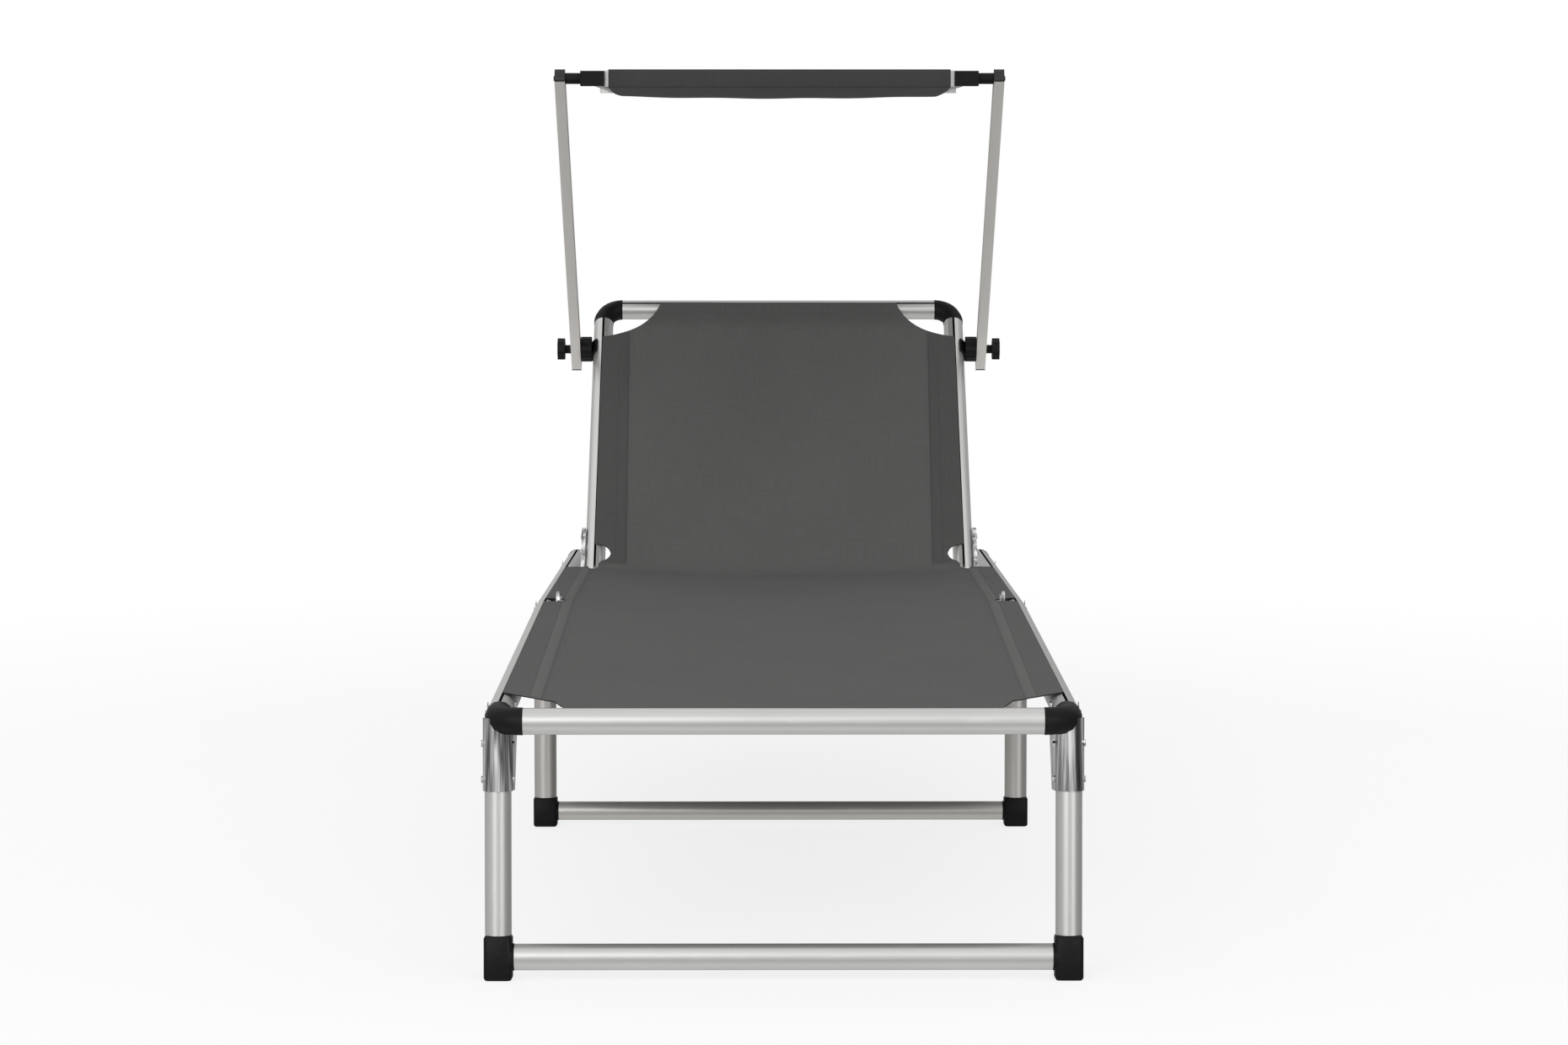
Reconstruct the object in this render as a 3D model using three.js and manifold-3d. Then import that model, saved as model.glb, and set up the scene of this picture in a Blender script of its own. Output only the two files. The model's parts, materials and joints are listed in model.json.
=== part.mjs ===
// Folding sun lounger with a reclining backrest and a tilting canopy.
// Millimetres. X runs across the lounger, Y from the foot end to the head end, Z up from the floor.
import * as THREE from "three";
import { mergeVertices } from "three/addons/utils/BufferGeometryUtils.js";
import Module from "manifold-3d";

const degrees = Math.PI / 180;
const quarterTurn = Math.PI / 2;

// Overall frame
const seatWidth = 554; // between the axes of the two side rails
const tubeRadius = 13;
const tubeWall = 1.4;
const railHeight = 252; // axis of the foot rails above the floor
const footLength = 890; // from the front rail's axis to the fold
const rearLength = 829; // from the fold to the rear rail ends
const rearSlopeDeg = 1.9; // the rear rails fall towards the head end
const buttGap = 1.5; // between the rail ends at the fold
const fit = 0.3; // clearance between a piece and the one that it plugs into or rests on
const overrun = 2; // by which a cutting solid passes the faces that it cuts

// Profile of the frame tubes, which hold the edges of the sling
const trackRadius = 3.4;
const trackWall = 1.1;
const slotWidth = 3;
const plugLength = 16;

// Corner elbows
const bendRadius = 25;
const frontElbowArm = 20; // straight part on the side rail
const backElbowArm = 2; // and on the backrest's side tube
const elbowRadius = 13.6;

// Leg frames
const pivotSetback = 58; // from a leg's axis back to its pivot
const pivotDrop = 4; // of a leg's pivot under the rail's axis
const pinRadius = 3;
const frontLegPivotY = 75;
const middleLegSetback = 50; // of the middle legs' pivot behind the fold
const rearLegSetback = 137; // of the rear legs' pivot before the rail ends
const frontLeanDeg = 4.2;
const middleLeanDeg = 1.5;
const rearLeanDeg = 4.2;
const frontCrossbarRadius = 13;
const frontCrossbarHeight = 21;
const frontFootHeight = 38;
const backCrossbarRadius = 11;
const backCrossbarHeight = 17;
const backFootHeight = 32;
const footRadius = 13.8;
const footChamfer = 1.4;
const footCorner = 5; // radius of the upright corners
const footCollar = 1.6; // length of crossbar collar that shows beside a foot

// Leg brackets
const sheet = 1.5;
const bracketDepth = 72; // from the pivot down to the lower edge
const bracketLobe = 13; // radius of the flange round the pivot
const bracketFoot = 29; // from the leg's axis back to the flange's lower corner
const rivetRadius = 3.4;
const pivotHeadRadius = 4.4;
const bracketCornerRise = 1; // of the front brackets over their pivots, beside the elbows
const rivetHead = 1.4;
const upperRivetDrop = 24;
const lowerRivetDrop = 59;

// Fold hinges
const foldHeelShare = 0.5; // of the height from the pin to the strap
const foldPivotRise = 3; // of the fold's axis over the rails' top
const foldPlate = 1.8;
const foldEarRadius = 8;
const foldStrapLength = 34;
const foldNeck = 16; // from the pivot to the strap's square part
const foldStrapHeight = 15;
const foldRivetShare = 0.76; // of the strap's length

// Backrest
const backWidth = 479; // between the axes of the backrest's side tubes
const backAngleDeg = 42;
const backPivotSetback = 510; // behind the fold
const backPivotDrop = 11; // under the rail's axis
const backLineRise = 19; // of the tube's axis over the pivot, straight up
const endDome = 7; // of the closed lower ends of the side tubes
const backLength = 482; // from above the pivot to the top rail's axis

// Ratchet of the recline hinge
const ratchetRadius = 19;
const ratchetRootRadius = 16.4;
const ratchetTipRadius = 14.2;
const ratchetTeeth = 24;
const ratchetPlate = 2;
const ratchetDepth = 3.6;
const ratchetArmWidth = 17;
const ratchetArmLength = 78;
const cupStrapTurn = 430 * degrees; // where the cup's edge runs into its strap
const armHeelTurns = [150 * degrees, 290 * degrees]; // ends of the arm's round heel
const armWaistShares = [0.33, 0.2]; // of the arm's length, below and above
const pawlHeelTurn = 12 * degrees;
const pawlTipTurn = 2 * degrees;
const pawlTipShare = 0.125; // of the pawl's width
const cupRivetShares = [0.55, 0.95]; // of the straps' length
const armRivetShares = [0.6, 0.95];
const hubRadius = 6.5;
const pawlWidth = 4;
const reclinePinRadius = 3.5;

// Canopy
const clampDistance = 402; // along the backrest from above the pivot
const clampLift = 4; // of the clamp's axis over the backrest tube's axis
const clampRadius = 17;
const clampRibs = 18;
const clampRibDepth = 0.9;
const jawLength = 22;
const jawLowTurn = -80 * degrees; // ends of the jaw round the tube
const jawHighTurn = 60 * degrees;
const jawWall = 3;
const armWidth = 13;
const armDepth = 20;
const armWall = 1.5;
const armLength = 547; // from the clamp's axis to the canopy's pivot
const armTail = 34; // past the clamp's axis
const armAngleDeg = 138.3; // from the +Y direction, at rest
const armCentre = 276; // from the middle plane
const armCap = 9;
const knobRadius = 15;
const knobThickness = 10;
const knobStem = 8;
const knobStemRadius = 6;
const knobLobes = 7;
const knobScallop = 1.6;
const boltRadius = 3;
const canopyDepth = 632; // between the axes of the front and rear bars
const canopyDrop = 6; // of the rear bar under the front bar
const barHeight = 20;
const barDepth = 9;
const armSpacer = 19.2; // length of spacer between the arm and the connector's block
const spacerRadius = 7;
const clothMargin = 5; // of bare bar beside the roof cloth
const connectorWidth = 30;
const connectorHeight = 19;
const connectorDepth = 26;
const sideBarWidth = 9;
const canopySag = 12;

// Fabric
const clothThickness = 1.2;
const sleeveGap = 0.6;
const seatFrontCorner = 100; // the sling is cut back to here beside the rails
const seatCornerInset = 49; // and to here beside its tongue
const seatCornerHalf = 224; // from the middle to the inner end of the slanted cut
const seatTongueHalf = 213; // half the width of the part that reaches the front rail
const foldNotchLength = 36;
const foldNotchWidth = 24;
const seatEndGap = 26; // from the end of the seat's cloth to the backrest's pivot
const seatTabGap = 5; // the same beside the rails
const backStart = 9;
const backCornerWidth = 84; // of the quarter curve cut out of each top corner
const backCornerHeight = 66;
const backNotchDepth = 21; // of the notch beside the backrest's lower corners
const backNotchLength = 42;
const backNotchStart = 5;

const tubeSides = 18;
const cavitySides = 10;
const trackSides = 6;
const elbowSides = 14;
const elbowSteps = 8;
const smallSides = 8;
const arcSteps = 5;
const cornerSteps = 3;
const channelSteps = 8;
const hubSides = 12;
const facesPerLobe = 4;

const halfSeat = seatWidth / 2;
const halfBack = backWidth / 2;
const middleLegPivotY = footLength + middleLegSetback;
const rearLegPivotY = footLength + rearLength - rearLegSetback;
const backPivotY = footLength + backPivotSetback;
const wasm = await Module();
wasm.setup();

const aluminium = { color: 0xc6c6c4, roughness: 0.38, metalness: 0.9 };
const chrome = { color: 0xb4b4b8, roughness: 0.15, metalness: 1 };
const flatAluminium = { color: 0xa9a9a6, roughness: 0.45, metalness: 0.8 };
const blackPlastic = { color: 0x242424, roughness: 0.5, metalness: 0 };
const slingCloth = { color: 0x585858, roughness: 0.8, metalness: 0 };
const canopyCloth = { color: 0x444444, roughness: 0.85, metalness: 0 };

// Solids

function toSolid(geometry) {
  const plain = geometry.clone();
  plain.deleteAttribute("normal");
  plain.deleteAttribute("uv");
  const merged = mergeVertices(plain, 1e-4);
  const triVerts = new Uint32Array(merged.index.array);
  return new wasm.Manifold(
    new wasm.Mesh({
      numProp: 3,
      vertProperties: merged.attributes.position.array,
      triVerts,
    }),
  );
}

function toGeometry(solid) {
  const mesh = solid.getMesh();
  const geometry = new THREE.BufferGeometry();
  geometry.setAttribute("position", new THREE.BufferAttribute(mesh.vertProperties, 3));
  geometry.setIndex(new THREE.BufferAttribute(mesh.triVerts, 1));
  geometry.computeVertexNormals();
  return geometry;
}

// The first geometry with the others joined to it.
function joined(...geometries) {
  const solids = geometries.map(toSolid);
  return toGeometry(solids.reduce((sum, solid) => sum.add(solid)));
}

function cut(geometry, ...tools) {
  const start = toSolid(geometry);
  return toGeometry(tools.map(toSolid).reduce((rest, tool) => rest.subtract(tool), start));
}

function common(first, second) {
  return toGeometry(toSolid(first).intersect(toSolid(second)));
}

function named(name, geometry, look) {
  const mesh = new THREE.Mesh(geometry, new THREE.MeshStandardMaterial(look));
  mesh.name = name;
  return mesh;
}

// An arc of straight steps, added to a path that it starts or continues.
function arc(path, x, y, radius, start, end, steps, radiusY = radius) {
  for (let i = 0; i <= steps; i += 1) {
    const turn = start + (end - start) * i / steps;
    const pointX = x + radius * Math.cos(turn);
    const pointY = y + radiusY * Math.sin(turn);
    if (i === 0 && path.curves.length === 0) {
      path.moveTo(pointX, pointY);
    } else {
      path.lineTo(pointX, pointY);
    }
  }
  return path;
}

// A full circle, open between its last point and its first.
function ring(path, radius, steps) {
  return arc(path, 0, 0, radius, 0, 2 * Math.PI * (1 - 1 / steps), steps - 1);
}

// A cylinder along X from one place to another, at a point of the side view.
function pinAlongX(radius, fromX, toX, y = 0, z = 0, sides = smallSides) {
  const length = Math.abs(toX - fromX);
  return new THREE.CylinderGeometry(radius, radius, length, sides)
    .rotateZ(Math.PI / 2)
    .translate((fromX + toX) / 2, y, z);
}

// A plate square to X, from its outline in the side view (Y, Z).
function plateAcrossX(shape, fromX, thickness) {
  return new THREE.ExtrudeGeometry(shape, { depth: thickness, bevelEnabled: false, curveSegments: arcSteps })
    .rotateX(Math.PI / 2)
    .rotateZ(Math.PI / 2)
    .translate(fromX, 0, 0);
}

function box(fromX, toX, fromY, toY, fromZ, toZ) {
  return new THREE.BoxGeometry(toX - fromX, toY - fromY, toZ - fromZ)
    .translate((fromX + toX) / 2, (fromY + toY) / 2, (fromZ + toZ) / 2);
}

function withFacesTurned(geometry) {
  const copy = geometry.clone();
  const order = copy.index ?? new THREE.BufferAttribute(
    Uint32Array.from({ length: copy.attributes.position.count }, (unused, i) => i), 1);
  const turned = Uint32Array.from(order.array);
  for (let i = 0; i < turned.length; i += 3) {
    [turned[i], turned[i + 1]] = [turned[i + 1], turned[i]];
  }
  copy.setIndex(new THREE.BufferAttribute(turned, 1));
  copy.computeVertexNormals();
  return copy;
}

// A piece modelled on the right (+X), or its mirror image on the left.
function handed(geometry, side) {
  return side > 0 ? geometry : withFacesTurned(geometry.clone().scale(-1, 1, 1));
}

const sides = [
  { suffix: "left", side: -1 },
  { suffix: "right", side: 1 },
];

// Profile of the frame tubes: a round wall with a track for the sling's cord inside its top
const trackCentre = tubeRadius - tubeWall - trackRadius + trackWall;

function railShape() {
  const shape = new THREE.Shape();
  const lipAngle = Math.asin(slotWidth / 2 / tubeRadius);
  const mouthAngle = Math.asin(slotWidth / 2 / trackRadius);
  const top = Math.PI / 2;
  arc(shape, 0, 0, tubeRadius, top + lipAngle, top - lipAngle + 2 * Math.PI, tubeSides - 2);
  arc(shape, 0, trackCentre, trackRadius, top - mouthAngle, top + mouthAngle - 2 * Math.PI, trackSides);
  shape.closePath();
  shape.holes.push(cavity(new THREE.Path(), 0));
  return shape;
}

// The tube's hollow under the track, drawn in by a clearance for what plugs into it.
function cavity(path, clearance) {
  const inner = tubeRadius - tubeWall - clearance;
  const track = trackRadius + trackWall + clearance;
  const meetY = (inner ** 2 - track ** 2 + trackCentre ** 2) / (2 * trackCentre);
  const meetX = Math.sqrt(inner ** 2 - meetY ** 2);
  const wallAngle = Math.atan2(meetY, meetX);
  const trackAngle = Math.atan2(meetY - trackCentre, meetX);
  arc(path, 0, 0, inner, Math.PI - wallAngle, 2 * Math.PI + wallAngle, cavitySides);
  arc(path, 0, trackCentre, track, trackAngle, -Math.PI - trackAngle, trackSides);
  path.closePath();
  return path;
}

function extruded(shape, length) {
  return new THREE.ExtrudeGeometry(shape, { depth: length, bevelEnabled: false, curveSegments: arcSteps });
}

// A frame tube along +Y with its slot on top.
function railTube(length) {
  return extruded(railShape(), length).rotateX(Math.PI / 2).translate(0, length, 0);
}

// The part of a plastic fitting that goes into a frame tube, along +Y.
function railPlug(length) {
  return extruded(cavity(new THREE.Shape(), fit), length).rotateX(Math.PI / 2).translate(0, length, 0);
}

// A plain round tube along +Z.
function roundTube(radius, length) {
  const shape = ring(new THREE.Shape(), radius, tubeSides);
  shape.closePath();
  const bore = ring(new THREE.Path(), radius - tubeWall, tubeSides);
  bore.closePath();
  shape.holes.push(bore);
  return extruded(shape, length);
}

// A quarter bend with a straight arm, in the XY plane: from the end of the cross tube to the side rail.
class ElbowPath extends THREE.Curve {
  constructor(arm) {
    super();
    this.arm = arm;
  }

  getPoint(t, target = new THREE.Vector3()) {
    const arc = bendRadius * Math.PI / 2;
    const along = t * (arc + this.arm);
    if (along < arc) {
      const turn = along / bendRadius;
      return target.set(bendRadius * Math.sin(turn), bendRadius * (1 - Math.cos(turn)), 0);
    }
    return target.set(bendRadius, bendRadius + along - arc, 0);
  }
}

function elbowBend(arm, radius) {
  return new THREE.ExtrudeGeometry(ring(new THREE.Shape(), radius, elbowSides), {
    steps: elbowSteps,
    bevelEnabled: false,
    extrudePath: new ElbowPath(arm),
  });
}

// An elbow with its two plugs. Its cross tube ends at the origin and its side rail lies on X = bendRadius.
function elbow(arm) {
  const bendEnd = bendRadius + arm;
  const sidePlug = railPlug(plugLength + overrun).translate(bendRadius, bendEnd - overrun, 0);
  const crossPlug = railPlug(plugLength + overrun).rotateZ(Math.PI / 2).translate(overrun, 0, 0);
  return joined(elbowBend(arm, elbowRadius), sidePlug, crossPlug);
}

// Side rails of the two frames
const rearSlope = rearSlopeDeg * degrees;
const footRailStart = bendRadius + frontElbowArm + fit;
const crossTubeHalf = halfSeat - bendRadius - fit;

// Height of the rails' axis at a place along the lounger.
function railAxis(y) {
  return y <= footLength ? railHeight : railHeight - (y - footLength) * Math.tan(rearSlope);
}

// Place along the rear rails of a point at a depth under their axis.
function alongRear(y, depth) {
  return (y - footLength) / Math.cos(rearSlope) + depth * Math.tan(rearSlope);
}

function pinHole(y, z, radius = pinRadius) {
  const reach = tubeRadius + overrun;
  return pinAlongX(radius + fit, -reach, reach, y, z);
}

function footFrame() {
  const group = new THREE.Group();
  group.position.set(0, 0, railHeight);
  const length = footLength - buttGap / 2 - footRailStart;
  for (const { suffix, side } of sides) {
    const rail = cut(railTube(length), pinHole(frontLegPivotY - footRailStart, -pivotDrop));
    const mesh = named(`foot_rail_${suffix}`, rail, aluminium);
    mesh.position.set(side * halfSeat, footRailStart, 0);
    group.add(mesh);
    const corner = named(`front_elbow_${suffix}`, handed(elbow(frontElbowArm), side), blackPlastic);
    corner.position.set(side * (halfSeat - bendRadius), 0, 0);
    group.add(corner);
  }
  const front = railTube(2 * crossTubeHalf).rotateZ(-Math.PI / 2);
  const mesh = named("front_rail", front, aluminium);
  mesh.position.set(-crossTubeHalf, 0, 0);
  group.add(mesh);
  return group;
}

// The rear frame's own frame starts at the fold and falls towards the head end.
function rearFrame() {
  const group = new THREE.Group();
  group.position.set(0, footLength, railHeight);
  group.rotation.x = -rearSlope;
  const length = rearLength - buttGap / 2;
  for (const { suffix, side } of sides) {
    const holes = [middleLegPivotY, rearLegPivotY]
      .map((y) => pinHole(alongRear(y, pivotDrop) - buttGap / 2, -pivotDrop));
    const rail = named(`rear_rail_${suffix}`, cut(railTube(length), ...holes), aluminium);
    rail.position.set(side * halfSeat, buttGap / 2, 0);
    const cap = named(`rear_rail_cap_${suffix}`, railCap(), blackPlastic);
    cap.position.set(side * halfSeat, rearLength + fit, 0);
    group.add(rail, cap);
  }
  return group;
}

// Domed ends, as shares of a radius and of the dome's height
const domeShares = [[1, 0], [0.88, 0.6], [0.5, 0.92], [0, 1]];

// A disc along +Y with a domed face.
function dome(radius, thickness, height) {
  const profile = domeShares.map(([radiusShare, heightShare]) =>
    new THREE.Vector2(radius * radiusShare, thickness + height * heightShare));
  const back = [new THREE.Vector2(0, 0), new THREE.Vector2(radius, 0)];
  return new THREE.LatheGeometry([...back, ...profile], tubeSides);
}

// An end cap with a rim that stands just proud of the tube, and a plug.
const capThickness = 3;
const capDome = 4;

function railCap() {
  const face = dome(elbowRadius, capThickness, capDome);
  return joined(face, railPlug(plugLength + overrun).translate(0, -plugLength, 0));
}

// Fold hinges: two plates inside each rail that turn on a pin just over the rails
const foldInner = halfSeat - tubeRadius - fit;
const foldPivotHeight = tubeRadius + foldPivotRise;

// Plate with its strap towards +Y. The pivot is the origin.
function foldPlateShape() {
  const strapTop = -foldPivotHeight + foldStrapHeight / 2;
  const strapBottom = strapTop - foldStrapHeight;
  const shape = new THREE.Shape();
  shape.moveTo(fit, strapBottom);
  shape.lineTo(foldStrapLength, strapBottom);
  shape.lineTo(foldStrapLength, strapTop);
  shape.lineTo(foldNeck, strapTop);
  arc(shape, 0, 0, foldEarRadius, 0, Math.PI, arcSteps);
  shape.lineTo(-foldEarRadius, strapTop * foldHeelShare);
  shape.lineTo(fit, strapTop);
  shape.closePath();
  return shape;
}

function strapRivet(fromX, toX, share) {
  return pinAlongX(rivetRadius, fromX, toX, foldStrapLength * share, -foldPivotHeight);
}

// The plate of the foot rail lies against the rail and carries the pin.
function foldPlateFront() {
  const outer = foldInner;
  const inner = outer - foldPlate;
  const plate = plateAcrossX(foldPlateShape(), inner, foldPlate);
  const pinEnd = inner - 2 * foldPlate - 2 * fit;
  const pin = pinAlongX(pinRadius, pinEnd, inner + overrun / 2);
  const head = pinAlongX(pinRadius + rivetHead, pinEnd, pinEnd + foldPlate - fit);
  const rivet = strapRivet(inner - rivetHead, inner + overrun / 2, foldRivetShare);
  return joined(plate, pin, head, rivet);
}

// The plate of the rear rail is joggled inwards by one thickness, so that the ears lie side by side.
function foldPlateRear() {
  const inner = foldInner - 2 * foldPlate - fit;
  const ear = plateAcrossX(foldPlateShape(), inner, foldPlate);
  const strapTop = -foldPivotHeight + foldStrapHeight / 2;
  const pad = box(inner, foldInner, foldNeck, foldStrapLength,
    strapTop - foldStrapHeight, strapTop);
  const rivet = strapRivet(inner - rivetHead, inner + overrun / 2, foldRivetShare);
  const hole = pinAlongX(pinRadius + fit, inner - overrun, inner + foldPlate + overrun);
  return cut(joined(ear, pad, rivet), hole);
}

function foldHinges() {
  const group = new THREE.Group();
  group.position.set(0, footLength, railHeight + foldPivotHeight);
  for (const { suffix, side } of sides) {
    const front = foldPlateFront().scale(1, -1, 1);
    const flipped = withFacesTurned(front);
    group.add(named(`fold_hinge_front_${suffix}`, handed(flipped, side), chrome));
    group.add(named(`fold_hinge_rear_${suffix}`, handed(foldPlateRear(), side), chrome));
  }
  return group;
}

// Leg frames. Each is built round its pivot, with the leg in front (-Y) and the rail above.
// The lean turns the leg and its bracket, so the edge that stops under the rail is sloped back by it,
// and by the rail's own rise away from the leg.
function stopEdge(y, frame) {
  const stop = frame.seatRadius - pivotDrop + fit;
  const slant = frame.lean + frame.railRise;
  return (y * Math.sin(slant) - stop * Math.cos(frame.railRise)) / Math.cos(slant);
}

function bracketOutline(frame) {
  const front = -pivotSetback - tubeRadius - 2 * sheet - overrun;
  const lobeFrontTurn = 45 * degrees;
  const lobeStart = -20 * degrees;
  const lobeEnd = 215 * degrees;
  const lobeFront = -bracketLobe * Math.cos(lobeFrontTurn);
  const shape = new THREE.Shape();
  shape.moveTo(front, -bracketDepth + overrun);
  shape.lineTo(-pivotSetback + tubeRadius / 2, -bracketDepth + overrun);
  shape.lineTo(-pivotSetback + bracketFoot, -bracketDepth);
  arc(shape, 0, 0, bracketLobe, lobeStart, lobeEnd, arcSteps);
  shape.lineTo(lobeFront - overrun, stopEdge(lobeFront, frame));
  if (frame.underElbow) {
    shape.lineTo(-pivotSetback, stopEdge(-pivotSetback, frame));
    shape.lineTo(-pivotSetback, bracketCornerRise);
    shape.lineTo(front, bracketCornerRise);
  } else {
    shape.lineTo(front, stopEdge(front, frame));
  }
  shape.closePath();
  return shape;
}

// The room that a front bracket leaves for the elbow over it, in the bracket's own frame.
function elbowSpace(frame) {
  return elbowBend(frontElbowArm, elbowRadius + fit)
    .translate(-bendRadius, -frame.pivotY, pivotDrop)
    .rotateX(frame.lean);
}

// A channel wrapped round the front of the leg, whose cheeks run back to the pivot.
function legBracket(frame) {
  const inside = tubeRadius + fit;
  const outside = inside + sheet;
  const back = pivotSetback + bracketLobe + overrun;
  const channel = new THREE.Shape();
  channel.moveTo(outside, back);
  arc(channel, 0, 0, outside, 0, -Math.PI, channelSteps);
  channel.lineTo(-outside, back);
  channel.lineTo(-inside, back);
  arc(channel, 0, 0, inside, -Math.PI, 0, channelSteps);
  channel.lineTo(inside, back);
  channel.closePath();
  const height = bracketDepth + bracketLobe + 2 * overrun;
  const blank = new THREE.ExtrudeGeometry(channel, {
    depth: height, bevelEnabled: false,
  }).translate(0, -pivotSetback, -bracketDepth - overrun);
  const reach = outside + overrun;
  const whole = common(blank, plateAcrossX(bracketOutline(frame), -reach, 2 * reach));
  const body = frame.underElbow ? cut(whole, elbowSpace(frame)) : whole;
  const head = outside + rivetHead;
  const pivot = pinAlongX(pinRadius, -head, head);
  const rivets = [-1, 1].flatMap((side) => [
    pinAlongX(pivotHeadRadius, side * head, side * (inside + sheet / 2)),
    pinAlongX(rivetRadius, side * head, side * (inside + sheet / 2), -pivotSetback, -upperRivetDrop),
    pinAlongX(rivetRadius, side * head, side * (inside + sheet / 2), -pivotSetback, -lowerRivetDrop),
  ]);
  return joined(body, pivot, ...rivets);
}

function roundedSquare(half, corner) {
  const flat = half - corner;
  const shape = new THREE.Shape();
  for (let quarter = 0; quarter < 4; quarter += 1) {
    const turn = quarter * Math.PI / 2;
    const centre = new THREE.Vector2(flat, flat).rotateAround(new THREE.Vector2(), turn);
    arc(shape, centre.x, centre.y, corner, turn, turn + Math.PI / 2, cornerSteps);
  }
  shape.closePath();
  return shape;
}

// A foot: a corner piece that joins leg and crossbar and stands flat on the floor.
function legFoot(frame) {
  const { lean, pivotHeight, footHeight, barRadius, barHeight: barAxis } = frame;
  const shellTop = (footHeight - pivotHeight) / Math.cos(lean);
  const slack = footRadius * Math.sin(lean);
  const sole = -(pivotHeight + pivotSetback * Math.sin(lean)) / Math.cos(lean) - slack;
  const bevel = footChamfer + slack;
  const shell = new THREE.ExtrudeGeometry(roundedSquare(footRadius, footCorner), {
    depth: shellTop - sole - 2 * bevel,
    bevelThickness: bevel,
    bevelSize: footChamfer,
    bevelOffset: -footChamfer,
    bevelSegments: 1,
  }).translate(0, -pivotSetback, sole + bevel);
  const plugRadius = tubeRadius - tubeWall - fit;
  const plug = new THREE.CylinderGeometry(plugRadius, plugRadius, plugLength + overrun, smallSides)
    .rotateX(Math.PI / 2)
    .translate(0, -pivotSetback, shellTop + (plugLength - overrun) / 2);
  const barY = barPlace(frame);
  const reach = 2 * footRadius + pivotSetback + pivotHeight;
  const ground = box(-reach, reach, -reach, reach, -pivotHeight, reach);
  const upright = common(joined(shell, plug).rotateX(-lean), ground);
  const collar = pinAlongX(barRadius + (footRadius - tubeRadius) / 2, -footRadius - footCollar, 0,
    barY, barAxis - pivotHeight, tubeSides);
  const barPlug = pinAlongX(barRadius - tubeWall - fit, -footRadius - footCollar - plugLength, 0,
    barY, barAxis - pivotHeight, tubeSides);
  return joined(upright, collar, barPlug);
}

// Where the leaning leg's axis passes the height of the crossbar.
function barPlace(frame) {
  const drop = frame.pivotHeight - frame.barHeight;
  return -pivotSetback / Math.cos(frame.lean) - drop * Math.tan(frame.lean);
}

function legFrame(frame) {
  const group = new THREE.Group();
  const leaning = new THREE.Group();
  leaning.rotation.x = -frame.lean;
  const top = stopEdge(-pivotSetback - tubeRadius, frame) - fit;
  const bottom = (frame.footHeight - frame.pivotHeight) / Math.cos(frame.lean) + fit;
  const turned = frame.faces < 0;
  for (const { suffix, side } of sides) {
    const local = turned ? -side : side;
    const leg = named(`${frame.name}_leg_${suffix}`, roundTube(tubeRadius, top - bottom), aluminium);
    leg.position.set(local * halfSeat, -pivotSetback, bottom);
    const bracket = named(`${frame.name}_leg_bracket_${suffix}`, handed(legBracket(frame), local), chrome);
    bracket.position.set(local * halfSeat, 0, 0);
    leaning.add(leg, bracket);
    const foot = named(`${frame.name}_foot_${suffix}`, handed(legFoot(frame), local), blackPlastic);
    foot.position.set(local * halfSeat, 0, 0);
    group.add(foot);
  }
  const barHalf = halfSeat - footRadius - footCollar - fit;
  const bar = roundTube(frame.barRadius, 2 * barHalf).rotateY(Math.PI / 2);
  const crossbar = named(`${frame.name}_crossbar`, bar, aluminium);
  crossbar.position.set(-barHalf, barPlace(frame), frame.barHeight - frame.pivotHeight);
  group.add(leaning, crossbar);
  group.position.set(0, frame.pivotY, frame.pivotHeight);
  if (turned) group.rotation.z = Math.PI;
  return group;
}

const frontLegs = {
  name: "front", pivotY: frontLegPivotY, faces: 1, lean: frontLeanDeg * degrees,
  footHeight: frontFootHeight, barRadius: frontCrossbarRadius, barHeight: frontCrossbarHeight,
  seatRadius: elbowRadius, railRise: 0, underElbow: true,
};
const middleLegs = {
  name: "middle", pivotY: middleLegPivotY, faces: 1, lean: middleLeanDeg * degrees,
  footHeight: backFootHeight, barRadius: backCrossbarRadius, barHeight: backCrossbarHeight,
  seatRadius: tubeRadius, railRise: 0, underElbow: false,
};
const rearLegs = {
  name: "rear", pivotY: rearLegPivotY, faces: -1, lean: rearLeanDeg * degrees,
  footHeight: backFootHeight, barRadius: backCrossbarRadius, barHeight: backCrossbarHeight,
  seatRadius: tubeRadius, railRise: rearSlope, underElbow: false,
};
for (const frame of [frontLegs, middleLegs, rearLegs]) {
  frame.pivotHeight = railAxis(frame.pivotY) - pivotDrop / Math.cos(rearSlope);
}

// Recline hinge: a toothed cup on the rail, and an arm with two pawls on the backrest
const cupOuterX = halfSeat - tubeRadius - fit;
const cupFloorX = cupOuterX - ratchetPlate;
const cupMouthX = cupFloorX - ratchetDepth;
const armOuterX = cupMouthX - fit;

function toothRing() {
  const shape = ring(new THREE.Shape(), ratchetRadius, ratchetTeeth);
  shape.closePath();
  const hole = new THREE.Path();
  const step = 2 * Math.PI / ratchetTeeth;
  for (let i = ratchetTeeth; i > 0; i -= 1) {
    const tipX = ratchetTipRadius * Math.cos(i * step);
    const tipY = ratchetTipRadius * Math.sin(i * step);
    const rootX = ratchetRootRadius * Math.cos(i * step);
    const rootY = ratchetRootRadius * Math.sin(i * step);
    if (i === ratchetTeeth) {
      hole.moveTo(tipX, tipY);
    } else {
      hole.lineTo(tipX, tipY);
    }
    hole.lineTo(rootX, rootY);
  }
  hole.closePath();
  shape.holes.push(hole);
  return shape;
}

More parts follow.
